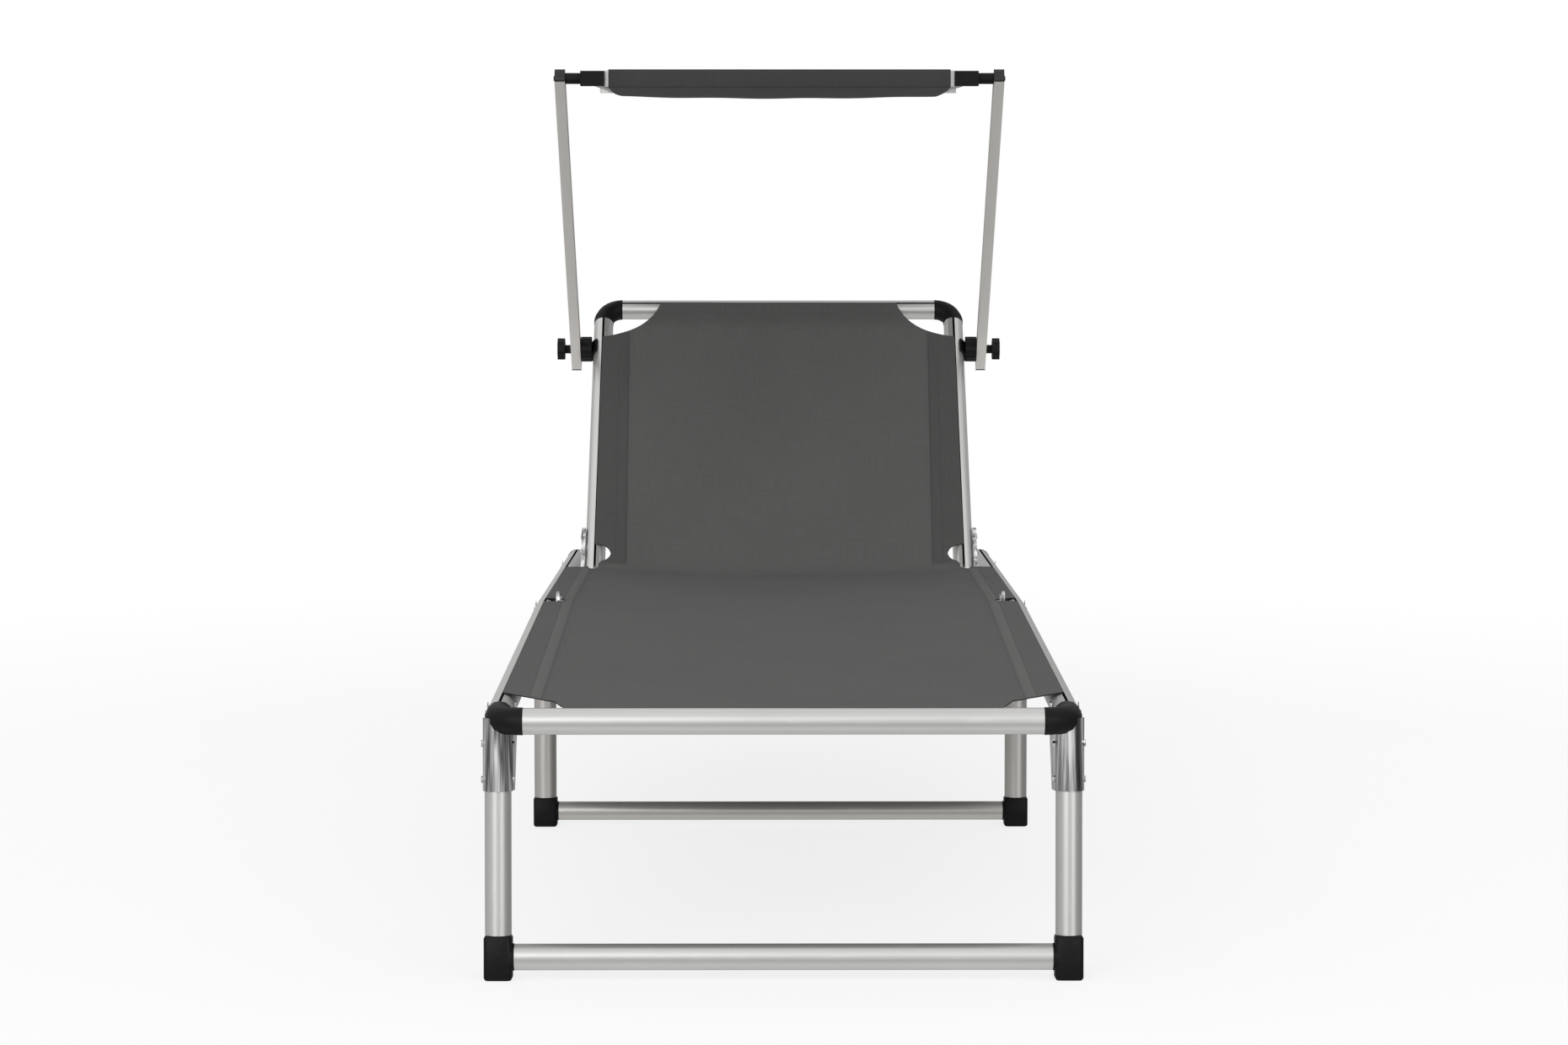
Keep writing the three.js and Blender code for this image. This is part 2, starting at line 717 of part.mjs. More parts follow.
// The cup hangs under the rail from a strap that is riveted to the rail's inner side.
function reclineCup() {
  const strapRise = backPivotDrop;
  const strap = new THREE.Shape();
  const strapHalf = ratchetArmWidth / 2;
  strap.moveTo(0, strapRise + strapHalf);
  strap.lineTo(-ratchetArmLength, strapRise + strapHalf);
  arc(strap, -ratchetArmLength, strapRise, strapHalf, quarterTurn, 3 * quarterTurn, arcSteps);
  strap.lineTo(-ratchetRadius, strapRise - strapHalf);
  arc(strap, 0, 0, ratchetRadius, Math.PI, cupStrapTurn, 3 * arcSteps);
  strap.closePath();
  const plate = plateAcrossX(strap, cupFloorX, ratchetPlate);
  const ring = plateAcrossX(toothRing(), cupMouthX, ratchetDepth + overrun / 2);
  const pinEnd = halfBack + tubeRadius + fit;
  const pin = pinAlongX(reclinePinRadius, pinEnd, cupFloorX + overrun / 2, 0, 0, hubSides);
  const rivets = cupRivetShares.map((share) =>
    pinAlongX(rivetRadius, cupFloorX - rivetHead, cupFloorX + overrun / 2,
      -ratchetArmLength * share, strapRise));
  return joined(plate, ring, pin, ...rivets);
}

// The arm lies on the backrest tube's outer side. Its pawls are drawn lifted, as they pass the tooth tips.
function reclineArm() {
  const lift = backLineRise * Math.cos(backAngleDeg * degrees);
  const armHalf = ratchetArmWidth / 2;
  const innerX = halfBack + tubeRadius + fit;
  const strap = new THREE.Shape();
  arc(strap, 0, 0, armHalf, ...armHeelTurns, arcSteps);
  strap.lineTo(ratchetArmLength * armWaistShares[0], lift - armHalf);
  arc(strap, ratchetArmLength, lift, armHalf, -quarterTurn, quarterTurn, arcSteps);
  strap.lineTo(ratchetArmLength * armWaistShares[1], lift + armHalf);
  strap.closePath();
  const plate = plateAcrossX(strap, innerX, armOuterX - innerX);
  const hub = pinAlongX(hubRadius, armOuterX - overrun / 2, cupFloorX - fit, 0, 0, hubSides);
  const pawlReach = ratchetTipRadius - 2 * fit;
  const pawl = new THREE.Shape();
  const heel = pawlReach * Math.cos(pawlHeelTurn);
  const tip = pawlReach * Math.cos(pawlTipTurn);
  const tipHeight = pawlWidth * pawlTipShare;
  pawl.moveTo(-heel, -pawlWidth / 2);
  pawl.lineTo(heel, -pawlWidth / 2);
  pawl.lineTo(tip, tipHeight);
  pawl.lineTo(hubRadius, pawlWidth / 2);
  pawl.lineTo(-hubRadius, pawlWidth / 2);
  pawl.lineTo(-tip, tipHeight);
  pawl.closePath();
  const pawls = plateAcrossX(pawl, armOuterX - overrun / 2, cupFloorX - fit - armOuterX + overrun / 2);
  const rivets = armRivetShares.map((share) =>
    pinAlongX(rivetRadius, armOuterX - overrun / 2, armOuterX + rivetHead, ratchetArmLength * share, lift));
  const bore = pinAlongX(reclinePinRadius + fit, innerX - overrun, cupFloorX + overrun, 0, 0, hubSides);
  return cut(joined(plate, hub, pawls, ...rivets), bore);
}

const backPivotHeight = railAxis(backPivotY) - backPivotDrop;
const backAngle = backAngleDeg * degrees;
const backLift = backLineRise * Math.cos(backAngle);
const backLineStart = backLineRise * Math.sin(backAngle);

function reclineCups() {
  const group = new THREE.Group();
  group.position.set(0, backPivotY, backPivotHeight);
  group.rotation.x = -rearSlope;
  for (const { suffix, side } of sides) {
    group.add(named(`recline_cup_${suffix}`, handed(reclineCup(), side), chrome));
  }
  return group;
}

// The backrest's own frame: its origin is the pivot, +Y runs up the backrest, +Z out of the sitting side.
function backrest() {
  const group = new THREE.Group();
  group.position.set(0, backPivotY, backPivotHeight);
  group.rotation.x = backAngle;
  const topAlong = backLineStart + backLength;
  const tubeEnd = topAlong - bendRadius - backElbowArm - fit;
  const tubeStart = backLineStart - tubeRadius / 2;
  for (const { suffix, side } of sides) {
    const arm = named(`recline_arm_${suffix}`, handed(reclineArm(), side), chrome);
    const lowerEnd = dome(tubeRadius, tubeWall, endDome).rotateX(Math.PI).translate(0, tubeWall, 0);
    const closed = joined(railTube(tubeEnd - tubeStart), lowerEnd);
    const tube = named(`backrest_tube_${suffix}`, closed, aluminium);
    tube.position.set(side * halfBack, tubeStart, backLift);
    const corner = named(`backrest_elbow_${suffix}`, handed(elbow(backElbowArm), side), blackPlastic);
    corner.rotation.z = Math.PI;
    corner.geometry = handed(corner.geometry, -1);
    corner.position.set(side * (halfBack - bendRadius), topAlong, backLift);
    group.add(arm, tube, corner);
  }
  const half = halfBack - bendRadius - fit;
  const top = named("backrest_top_rail", railTube(2 * half).rotateZ(-Math.PI / 2), aluminium);
  top.position.set(-half, topAlong, backLift);
  group.add(top, backSling(topAlong));
  return group;
}

// Cloth

// The cord sewn into the cloth's edge, in the track of a rail, with the web that leads up through the slot.
const cordRadius = trackRadius - 2 * fit;
const clothUnder = tubeRadius + fit;

function edgeCord(length) {
  const cord = new THREE.CylinderGeometry(cordRadius, cordRadius, length, smallSides)
    .translate(0, length / 2, trackCentre);
  const webHalf = clothThickness / 2;
  const web = box(-webHalf, webHalf, 0, length, trackCentre, clothUnder + clothThickness);
  return joined(cord, web);
}

function clothSheet(outline) {
  return extruded(outline, clothThickness).translate(0, 0, clothUnder);
}

const clothHalf = halfSeat + clothThickness / 2;

// The foot part, from the front rail to the fold.
function footSling() {
  const end = footLength - buttGap;
  const notchStart = end - foldNotchLength / 2;
  const outline = new THREE.Shape();
  outline.moveTo(-clothHalf, seatFrontCorner);
  outline.lineTo(-seatCornerHalf, seatCornerInset);
  outline.lineTo(-seatTongueHalf, -clothThickness / 2);
  outline.lineTo(seatTongueHalf, -clothThickness / 2);
  outline.lineTo(seatCornerHalf, seatCornerInset);
  outline.lineTo(clothHalf, seatFrontCorner);
  const depth = foldNotchLength / 2;
  arc(outline, clothHalf, end, foldNotchWidth, -quarterTurn, -Math.PI, arcSteps, depth);
  arc(outline, -clothHalf, end, foldNotchWidth, 0, -quarterTurn, arcSteps, depth);
  outline.closePath();
  const length = notchStart - seatFrontCorner;
  const cords = [-1, 1].map((side) => edgeCord(length).translate(side * halfSeat, seatFrontCorner, 0));
  const frontCord = edgeCord(2 * seatTongueHalf).rotateZ(-Math.PI / 2).translate(-seatTongueHalf, 0, 0);
  const mesh = named("sling_foot", joined(clothSheet(outline), ...cords, frontCord), slingCloth);
  mesh.position.set(0, 0, railHeight);
  return mesh;
}

// The seat part, from the fold to the backrest, with a tab along each rail beside the backrest.
function seatSling() {
  const start = buttGap;
  const end = backPivotSetback - seatEndGap;
  const tabEnd = backPivotSetback - seatTabGap;
  const depth = foldNotchLength / 2;
  const notchEnd = start + depth;
  const tabIn = armOuterX + rivetHead + fit;
  const outline = new THREE.Shape();
  arc(outline, clothHalf, start, foldNotchWidth, Math.PI, quarterTurn, arcSteps, depth);
  outline.lineTo(clothHalf, tabEnd);
  outline.lineTo(tabIn, tabEnd);
  outline.lineTo(tabIn, end);
  outline.lineTo(-tabIn, end);
  outline.lineTo(-tabIn, tabEnd);
  outline.lineTo(-clothHalf, tabEnd);
  arc(outline, -clothHalf, start, foldNotchWidth, quarterTurn, 0, arcSteps, depth);
  outline.closePath();
  const cords = [-1, 1].map((side) => edgeCord(tabEnd - notchEnd).translate(side * halfSeat, notchEnd, 0));
  const mesh = named("sling_seat", joined(clothSheet(outline), ...cords), slingCloth);
  mesh.position.set(0, footLength, railHeight);
  mesh.rotation.x = -rearSlope;
  return mesh;
}

// The backrest part, cut away in quarter curves at its top corners and notched beside its lower ones.
function backSling(topAlong) {
  const half = halfBack + clothThickness / 2;
  const top = topAlong + clothThickness / 2;
  const tubeEnd = topAlong - backCornerHeight - fit;
  const outline = new THREE.Shape();
  const notchHalf = backNotchLength / 2;
  const notchMiddle = backNotchStart + notchHalf;
  const notchTurn = Math.asin((notchMiddle - backStart) / notchHalf);
  arc(outline, half, notchMiddle, backNotchDepth, Math.PI + notchTurn, Math.PI / 2, arcSteps, notchHalf);
  outline.lineTo(half, tubeEnd);
  outline.quadraticCurveTo(half - backCornerWidth, tubeEnd, half - backCornerWidth, top);
  outline.lineTo(-half + backCornerWidth, top);
  outline.quadraticCurveTo(-half + backCornerWidth, tubeEnd, -half, tubeEnd);
  arc(outline, -half, notchMiddle, backNotchDepth, Math.PI / 2, -notchTurn, arcSteps, notchHalf);
  outline.closePath();
  const notchEnd = backNotchStart + backNotchLength;
  const length = tubeEnd - notchEnd;
  const cords = [-1, 1].map((side) => edgeCord(length).translate(side * halfBack, notchEnd, 0));
  const topHalf = half - backCornerWidth;
  const topCord = edgeCord(2 * topHalf).rotateZ(-Math.PI / 2).translate(-topHalf, topAlong, 0);
  const mesh = named("sling_back", joined(clothSheet(outline), ...cords, topCord), slingCloth);
  mesh.position.set(0, 0, backLift);
  return mesh;
}

// Canopy

// A saddle clamp on the backrest tube with a ribbed drum that the arm turns against.
const drumStart = halfBack + tubeRadius + fit;
const armInnerX = armCentre - armWidth / 2;
const clampAlong = backLineStart + clampDistance;

function drumShape() {
  const shape = new THREE.Shape();
  const points = clampRibs * 2;
  for (let i = 0; i < points; i += 1) {
    const radius = clampRadius - (i % 2) * clampRibDepth;
    const turn = i * 2 * Math.PI / points;
    const y = radius * Math.cos(turn);
    const z = radius * Math.sin(turn);
    if (i === 0) {
      shape.moveTo(y, z);
    } else {
      shape.lineTo(y, z);
    }
  }
  shape.closePath();
  return shape;
}

function canopyClamp() {
  const drumFrom = drumStart + jawWall / 2;
  const drum = plateAcrossX(drumShape(), drumFrom, armInnerX - fit - drumFrom);
  const jawShape = new THREE.Shape();
  const outer = tubeRadius + fit + jawWall;
  const inner = tubeRadius + fit;
  arc(jawShape, 0, 0, outer, jawLowTurn, jawHighTurn, 2 * arcSteps);
  arc(jawShape, 0, 0, inner, jawHighTurn, jawLowTurn, 2 * arcSteps);
  jawShape.closePath();
  const jaw = new THREE.ExtrudeGeometry(jawShape, {
    depth: jawLength, bevelEnabled: false,
  }).rotateX(Math.PI / 2).translate(halfBack, jawLength / 2, -clampLift);
  const bore = pinAlongX(boltRadius + fit, drumStart + 2 * jawWall, armInnerX + overrun);
  return cut(joined(drum, jaw), bore);
}

// A flat tube from the clamp up to the canopy, along +Y of its own frame.
function canopyArm() {
  const outline = new THREE.Shape();
  const halfWidth = armWidth / 2;
  const halfDepth = armDepth / 2;
  outline.moveTo(-halfWidth, -halfDepth);
  outline.lineTo(halfWidth, -halfDepth);
  outline.lineTo(halfWidth, halfDepth);
  outline.lineTo(-halfWidth, halfDepth);
  outline.closePath();
  const hole = new THREE.Path();
  hole.moveTo(-halfWidth + armWall, -halfDepth + armWall);
  hole.lineTo(-halfWidth + armWall, halfDepth - armWall);
  hole.lineTo(halfWidth - armWall, halfDepth - armWall);
  hole.lineTo(halfWidth - armWall, -halfDepth + armWall);
  hole.closePath();
  outline.holes.push(hole);
  const length = armTail + armLength + armDepth / 2 - armCap;
  const tube = extruded(outline, length).rotateX(Math.PI / 2).translate(armCentre, length - armTail, 0);
  const reach = armWidth + overrun;
  const clampHole = pinAlongX(boltRadius + fit, armCentre - reach, armCentre + reach);
  const topHole = pinAlongX(boltRadius + fit, armCentre - reach, armCentre + reach, armLength);
  return cut(joined(tube, armCapPiece()), clampHole, topHole);
}

// The rounded cap that closes the arm's upper end, one piece with the arm.
function armCapPiece() {
  const halfDepth = armDepth / 2;
  const start = armLength + halfDepth - armCap - fit;
  const cap = new THREE.Shape();
  cap.moveTo(start, -halfDepth);
  cap.lineTo(start + armCap - halfDepth / 2, -halfDepth);
  cap.quadraticCurveTo(start + armCap, -halfDepth, start + armCap, 0);
  cap.quadraticCurveTo(start + armCap, halfDepth, start + armCap - halfDepth / 2, halfDepth);
  cap.lineTo(start, halfDepth);
  cap.closePath();
  const head = plateAcrossX(cap, armCentre - armWidth / 2, armWidth);
  const plugHalf = armWidth / 2 - armWall - fit;
  const plugTop = halfDepth - armWall - fit;
  const plugEnd = armLength + boltRadius + 2 * fit;
  const plug = box(armCentre - plugHalf, armCentre + plugHalf, plugEnd, start + fit, -plugTop, plugTop);
  return joined(head, plug);
}

function knob() {
  const shape = new THREE.Shape();
  const points = knobLobes * facesPerLobe;
  for (let i = 0; i < points; i += 1) {
    const turn = i * 2 * Math.PI / points;
    const radius = knobRadius - knobScallop * (0.5 - 0.5 * Math.cos(knobLobes * turn));
    if (i === 0) {
      shape.moveTo(radius * Math.cos(turn), radius * Math.sin(turn));
    } else {
      shape.lineTo(radius * Math.cos(turn), radius * Math.sin(turn));
    }
  }
  shape.closePath();
  const stemStart = armCentre + armWidth / 2 + fit;
  const discStart = stemStart + knobStem;
  const disc = plateAcrossX(shape, discStart, knobThickness);
  const stem = pinAlongX(knobStemRadius, stemStart, discStart + overrun, 0, 0, hubSides);
  const bolt = pinAlongX(boltRadius, drumStart + 2 * jawWall + fit, discStart + overrun);
  return joined(disc, stem, bolt);
}

const armAngle = armAngleDeg * degrees;
const clampHeight = backLift + clampLift;
const clampWorldY = backPivotY + clampAlong * Math.cos(backAngle) - clampHeight * Math.sin(backAngle);
const clampWorldZ = backPivotHeight + clampAlong * Math.sin(backAngle) + clampHeight * Math.cos(backAngle);
const canopyPivotY = clampWorldY + armLength * Math.cos(armAngle);
const canopyPivotZ = clampWorldZ + armLength * Math.sin(armAngle);

function clamps() {
  const group = new THREE.Group();
  group.position.set(0, clampWorldY, clampWorldZ);
  group.rotation.x = backAngle;
  for (const { suffix, side } of sides) {
    group.add(named(`canopy_clamp_${suffix}`, handed(canopyClamp(), side), blackPlastic));
    group.add(named(`clamp_knob_${suffix}`, handed(knob(), side), blackPlastic));
  }
  return group;
}

function arms() {
  const group = new THREE.Group();
  group.position.set(0, clampWorldY, clampWorldZ);
  group.rotation.x = armAngle;
  for (const { suffix, side } of sides) {
    group.add(named(`canopy_arm_${suffix}`, handed(canopyArm(), side), flatAluminium));
  }
  return group;
}

// Canopy frame: flat bars front and rear, side bars, and black connectors at the corners.
const barSpan = 2 * (armInnerX - fit - armSpacer - connectorWidth);
const canopyWidth = barSpan - 2 * clothMargin;
const sideBarX = barSpan / 2 + connectorWidth / 2;
const pocket = connectorWidth / 2 + fit;

function frontConnector() {
  const inner = barSpan / 2;
  const outer = armInnerX - fit;
  const block = box(inner, inner + connectorWidth, -connectorDepth / 2, connectorDepth / 2,
    -connectorHeight / 2, connectorHeight / 2);
  const spacer = pinAlongX(spacerRadius, inner + connectorWidth / 2, outer, 0, 0, hubSides);
  const pin = pinAlongX(boltRadius, inner + connectorWidth, armCentre + armWidth / 2 + rivetHead);
  const halfBar = sideBarWidth / 2 + fit;
  const hole = box(sideBarX - halfBar, sideBarX + halfBar, connectorDepth / 2 - pocket / 2,
    connectorDepth + overrun, -barHeight / 2 + jawWall - fit, barHeight / 2 - jawWall + fit);
  return cut(joined(block, spacer, pin), hole);
}

// A side bar runs from the front connector's pocket into the rear connector, which is one piece with it.
function sideBar() {
  const halfBar = sideBarWidth / 2;
  const start = connectorDepth / 2 - pocket / 2 + fit;
  const end = canopyDepth - connectorDepth / 2;
  const halfHeight = barHeight / 2 - jawWall;
  const bar = box(sideBarX - halfBar, sideBarX + halfBar, start, end + overrun, -halfHeight, halfHeight);
  const inner = barSpan / 2;
  const block = box(inner, inner + connectorWidth, end, end + connectorDepth,
    -connectorHeight / 2, connectorHeight / 2);
  return joined(bar, block);
}

function crossBar() {
  const half = barSpan / 2 - fit;
  return box(-half, half, -barDepth / 2, barDepth / 2, -barHeight / 2, barHeight / 2);
}

// A sleeve of the roof cloth, open at both ends, round a bar whose axis is at a place along the canopy.
function roofSleeve(centre) {
  const halfWidth = canopyWidth / 2;
  const innerY = barDepth / 2 + sleeveGap;
  const innerZ = barHeight / 2 + sleeveGap;
  const outerY = innerY + clothThickness;
  const outerZ = innerZ + clothThickness;
  const outside = box(-halfWidth, halfWidth, centre - outerY, centre + outerY, -outerZ, outerZ);
  const boreHalf = halfWidth + overrun;
  const bore = box(-boreHalf, boreHalf, centre - innerY, centre + innerY, -innerZ, innerZ);
  return cut(outside, bore);
}

// The roof cloth: a sleeve round each bar and a sheet that sags between their lower edges.
function roofCloth() {
  const sheetTop = -barHeight / 2 - sleeveGap;
  const sheetUnder = sheetTop - clothThickness;
  const middle = canopyDepth / 2;
  const section = new THREE.Shape();
  section.moveTo(0, sheetUnder);
  section.quadraticCurveTo(middle, sheetUnder - 2 * canopySag, canopyDepth, sheetUnder);
  section.lineTo(canopyDepth, sheetTop);
  section.quadraticCurveTo(middle, sheetTop - 2 * canopySag, 0, sheetTop);
  section.closePath();
  const sheetBody = plateAcrossX(section, -canopyWidth / 2, canopyWidth);
  return joined(sheetBody, roofSleeve(0), roofSleeve(canopyDepth));
}

function canopy() {
  const group = new THREE.Group();
  group.position.set(0, canopyPivotY, canopyPivotZ);
  group.rotation.x = -Math.asin(canopyDrop / canopyDepth);
  for (const { suffix, side } of sides) {
    group.add(named(`canopy_connector_${suffix}`, handed(frontConnector(), side), blackPlastic));
    group.add(named(`canopy_side_bar_${suffix}`, handed(sideBar(), side), flatAluminium));
  }
  const front = named("canopy_front_bar", crossBar(), flatAluminium);
  const rear = named("canopy_rear_bar", crossBar(), flatAluminium);
  rear.position.set(0, canopyDepth, 0);
  group.add(front, rear, named("canopy_roof", roofCloth(), canopyCloth));
  return group;
}

// Assembly. The part's origin lies on the floor, at the middle of its length and width.
const lounger = new THREE.Group();
const everything = new THREE.Group();
everything.add(footFrame(), rearFrame(), foldHinges(), footSling(), seatSling());
everything.add(legFrame(frontLegs), legFrame(middleLegs), legFrame(rearLegs));
everything.add(reclineCups(), backrest(), clamps(), arms(), canopy());
everything.updateMatrixWorld(true);
const reach = new THREE.Box3().setFromObject(everything, true);
everything.position.set(0, -(reach.min.y + reach.max.y) / 2, 0);
lounger.add(everything);

export default lounger;
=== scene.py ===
"""Folding sun lounger with canopy: its looks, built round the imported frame.

Metres throughout. +Y runs from the foot end to the head end, +Z up.
"""

import json
import math

import bmesh
import bpy
import numpy as np
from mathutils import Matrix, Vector
from mathutils.geometry import delaunay_2d_cdt


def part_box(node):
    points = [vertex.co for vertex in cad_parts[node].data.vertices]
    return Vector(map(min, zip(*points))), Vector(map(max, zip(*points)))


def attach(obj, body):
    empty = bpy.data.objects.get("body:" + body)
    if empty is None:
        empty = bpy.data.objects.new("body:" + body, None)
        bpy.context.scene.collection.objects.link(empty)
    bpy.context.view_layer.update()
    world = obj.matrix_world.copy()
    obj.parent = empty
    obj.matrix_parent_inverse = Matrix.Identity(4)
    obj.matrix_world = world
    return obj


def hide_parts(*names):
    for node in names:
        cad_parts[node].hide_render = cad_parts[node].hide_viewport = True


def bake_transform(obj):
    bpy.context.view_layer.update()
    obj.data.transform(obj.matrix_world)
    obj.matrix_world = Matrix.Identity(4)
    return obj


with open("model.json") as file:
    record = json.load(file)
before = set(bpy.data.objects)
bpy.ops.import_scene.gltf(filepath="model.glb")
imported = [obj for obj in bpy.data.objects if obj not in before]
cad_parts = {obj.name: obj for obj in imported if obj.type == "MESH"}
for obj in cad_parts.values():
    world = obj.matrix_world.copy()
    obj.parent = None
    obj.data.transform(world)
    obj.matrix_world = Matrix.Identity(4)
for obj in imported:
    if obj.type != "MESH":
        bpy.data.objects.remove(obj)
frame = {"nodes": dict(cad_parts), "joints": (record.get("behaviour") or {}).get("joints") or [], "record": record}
nodes = frame["nodes"]
joints = {joint["name"]: joint for joint in frame["joints"]}
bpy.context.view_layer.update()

scene = bpy.context.scene


# Places, from the frame
FOLD = Vector(joints["seat_fold"]["pos_m"])
PIVOT = Vector(joints["backrest_recline"]["pos_m"])
RAIL_LOW, RAIL_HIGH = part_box("foot_rail_right")
TUBE_RADIUS = (RAIL_HIGH.x - RAIL_LOW.x) / 2
SEAT_HALF = (RAIL_HIGH.x + RAIL_LOW.x) / 2
RAIL_AXIS_Z = (RAIL_HIGH.z + RAIL_LOW.z) / 2
FRONT_LOW, FRONT_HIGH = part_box("front_rail")
FRONT_Y = (FRONT_LOW.y + FRONT_HIGH.y) / 2
TOP_LOW, TOP_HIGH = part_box("backrest_top_rail")
TOP_AXIS = (TOP_LOW + TOP_HIGH) / 2
BACK_LOW, BACK_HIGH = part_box("backrest_tube_right")
BACK_HALF = (BACK_LOW.x + BACK_HIGH.x) / 2

# Slopes of the rear rails and the backrest at rest, as in the solids
REAR_SLOPE = math.radians(1.9)
BACK_ANGLE = math.radians(42)


# Camera
CAMERA_PLACE = (-0.01625, -4.96388, 0.8402)
CAMERA_TILT_DEG = 5.636
CAMERA_YAW_DEG = 0.2375
CAMERA_LENS = 96.12
SENSOR_WIDTH = 36
VIEW_REACH = 50


def make_camera():
    data = bpy.data.cameras.new("camera")
    data.lens = CAMERA_LENS
    data.sensor_width = SENSOR_WIDTH
    data.clip_end = VIEW_REACH
    camera = bpy.data.objects.new("camera", data)
    camera.location = CAMERA_PLACE
    camera.rotation_euler = (math.radians(90 - CAMERA_TILT_DEG), 0, -math.radians(CAMERA_YAW_DEG))
    scene.collection.objects.link(camera)
    scene.camera = camera


# Node helpers
NOISE_RANGE = (0.3, 0.7)


def grey(level, tint=(1, 1, 1)):
    return (level * tint[0], level * tint[1], level * tint[2], 1)


class Tree:
    """A small builder for a material's or the world's node tree."""

    def __init__(self, owner):
        owner.use_nodes = True
        self.tree = owner.node_tree
        self.tree.nodes.clear()

    def node(self, kind, inputs=None, **settings):
        made = self.tree.nodes.new(kind)
        for name, value in settings.items():
            setattr(made, name, value)
        for name, value in (inputs or {}).items():
            if isinstance(value, bpy.types.NodeSocket):
                self.tree.links.new(value, made.inputs[name])
            else:
                made.inputs[name].default_value = value
        return made

    def math(self, operation, first, second=0.0, third=None):
        inputs = {0: first, 1: second}
        if third is not None:
            inputs[2] = third
        return self.node("ShaderNodeMath", inputs, operation=operation).outputs[0]

    def vector(self, operation, first, second):
        return self.node("ShaderNodeVectorMath", {0: first, 1: second}, operation=operation).outputs[0]

    def dot(self, first, second):
        made = self.node("ShaderNodeVectorMath", {0: first, 1: second}, operation="DOT_PRODUCT")
        return made.outputs["Value"]

    def scaled(self, vector, factor):
        made = self.node("ShaderNodeVectorMath", {0: vector, "Scale": factor}, operation="SCALE")
        return made.outputs[0]

    def noise(self, vector, scale, detail=2.0, roughness=0.5):
        """Noise by the vector times the scale, which is a number or one for each axis."""
        if isinstance(scale, tuple):
            vector = self.vector("MULTIPLY", vector, scale)
            scale = 1.0
        inputs = {"Vector": vector, "Scale": scale, "Detail": detail, "Roughness": roughness}
        return self.node("ShaderNodeTexNoise", inputs).outputs["Fac"]

    def drawn(self, place, direction, across, along):
        """The place scaled by along in the direction, and by across square to it."""
        surplus = self.math("MULTIPLY", self.dot(place, direction), across - along)
        return self.vector("SUBTRACT", self.scaled(place, across), self.scaled(direction, surplus))

    def ramp(self, factor, stops, tint=(1, 1, 1)):
        """Grey levels given at stops, each a position and a level."""
        made = self.node("ShaderNodeValToRGB", {"Fac": factor})
        elements = made.color_ramp.elements
        while len(elements) < len(stops):
            elements.new(0.5)
        for element, (position, level) in zip(elements, stops):
            element.position = position
            element.color = grey(level, tint)
        return made.outputs["Color"]

    def span(self, value, low, high, to_low, to_high):
        inputs = {"Value": value, "From Min": low, "From Max": high, "To Min": to_low, "To Max": to_high}
        return self.node("ShaderNodeMapRange", inputs).outputs["Result"]

    def spread(self, noise, low, high):
        """The usual range of a noise, spread from low to high."""
        return self.span(noise, *NOISE_RANGE, low, high)

    def mix(self, factor, first, second):
        return self.node("ShaderNodeMix", {0: factor, 6: first, 7: second}, data_type="RGBA").outputs[2]

    def shade(self, tone, level, tint):
        """The tinted level times the tone, which may reach 2."""
        return self.mix(self.math("MULTIPLY", tone, 0.5), grey(0), grey(2 * level, tint))

    def bump(self, height, strength, distance):
        inputs = {"Height": height, "Strength": strength, "Distance": distance}
        return self.node("ShaderNodeBump", inputs).outputs["Normal"]

    def place(self):
        return self.node("ShaderNodeTexCoord").outputs["Object"]

    def attribute(self, name):
        return self.node("ShaderNodeAttribute", attribute_name=name).outputs["Fac"]

    def beyond(self, place, point, direction):
        """1 past the plane through the point, square to the direction, and 0 before it."""
        offset = self.vector("SUBTRACT", place, point)
        return self.math("GREATER_THAN", self.dot(offset, direction), 0.0)

    def seen(self, path):
        """1 for the rays of the light path node that come from the camera, also through glass."""
        return self.math("MAXIMUM", path["Is Camera Ray"], path["Is Transmission Ray"])

    def surface(self, inputs):
        shader = self.node("ShaderNodeBsdfPrincipled", inputs)
        self.node("ShaderNodeOutputMaterial", {"Surface": shader.outputs[0]})


def new_material(name):
    material = bpy.data.materials.new(name)
    return material, Tree(material)


# Metal and plastic. Pairs of scales are across and along the drawn direction
WARM = (1.0, 0.995, 0.98)
# Next tint: painted warm reflection, as of a warm room, on the hind legs and crossbars and the canopy arms
WARM_REFLECTION_TINT = (1.0, 0.97, 0.925)
COOL = (0.985, 0.985, 1.0)
METAL_SHARE = 0.72
TUBE_ROUGHNESS = 0.34
FLAT_ROUGHNESS = 0.42
LINE_SCALES = (900, 2)
LINE_TONE = 0.02
LINE_ROUGHNESS = 0.03
BLOTCH_SCALE = 9.0
BLOTCH_TONE = 0.02
SCUFF_SCALES = (60, 20)
SCUFF_RANGE = (0.55, 0.8)
SCUFF_ROUGHNESS = 0.10
# Share of the colour left inside slots and bores: painted shade
SLOT_PAINTED_SHADE = 0.05
CAP_ROUGHNESS = 0.12
# Painted reflection: bands of darker and brighter colour in the plated steel, standing in for the dark and pale
# studio it would mirror
STEEL_REFLECTION_STREAKS = (150, 150, 5)
STEEL_REFLECTION_LEVELS = [(0.34, 0.16), (0.50, 0.50), (0.66, 0.88)]
STEEL_WAVES = (55, 55, 3)
STEEL_WAVE_HEIGHT = 0.009
PLASTIC_LEVEL = 0.0075
PLASTIC_WORN = 2.1
PLASTIC_ROUGHNESS = (0.40, 0.52)
PLASTIC_SPECULAR = 0.11
GRAIN_SCALE = 1800.0
FLOW_SCALE = 40.0
WEAR_SCALE = 130.0
WEAR_RANGE = (0.55, 0.85)


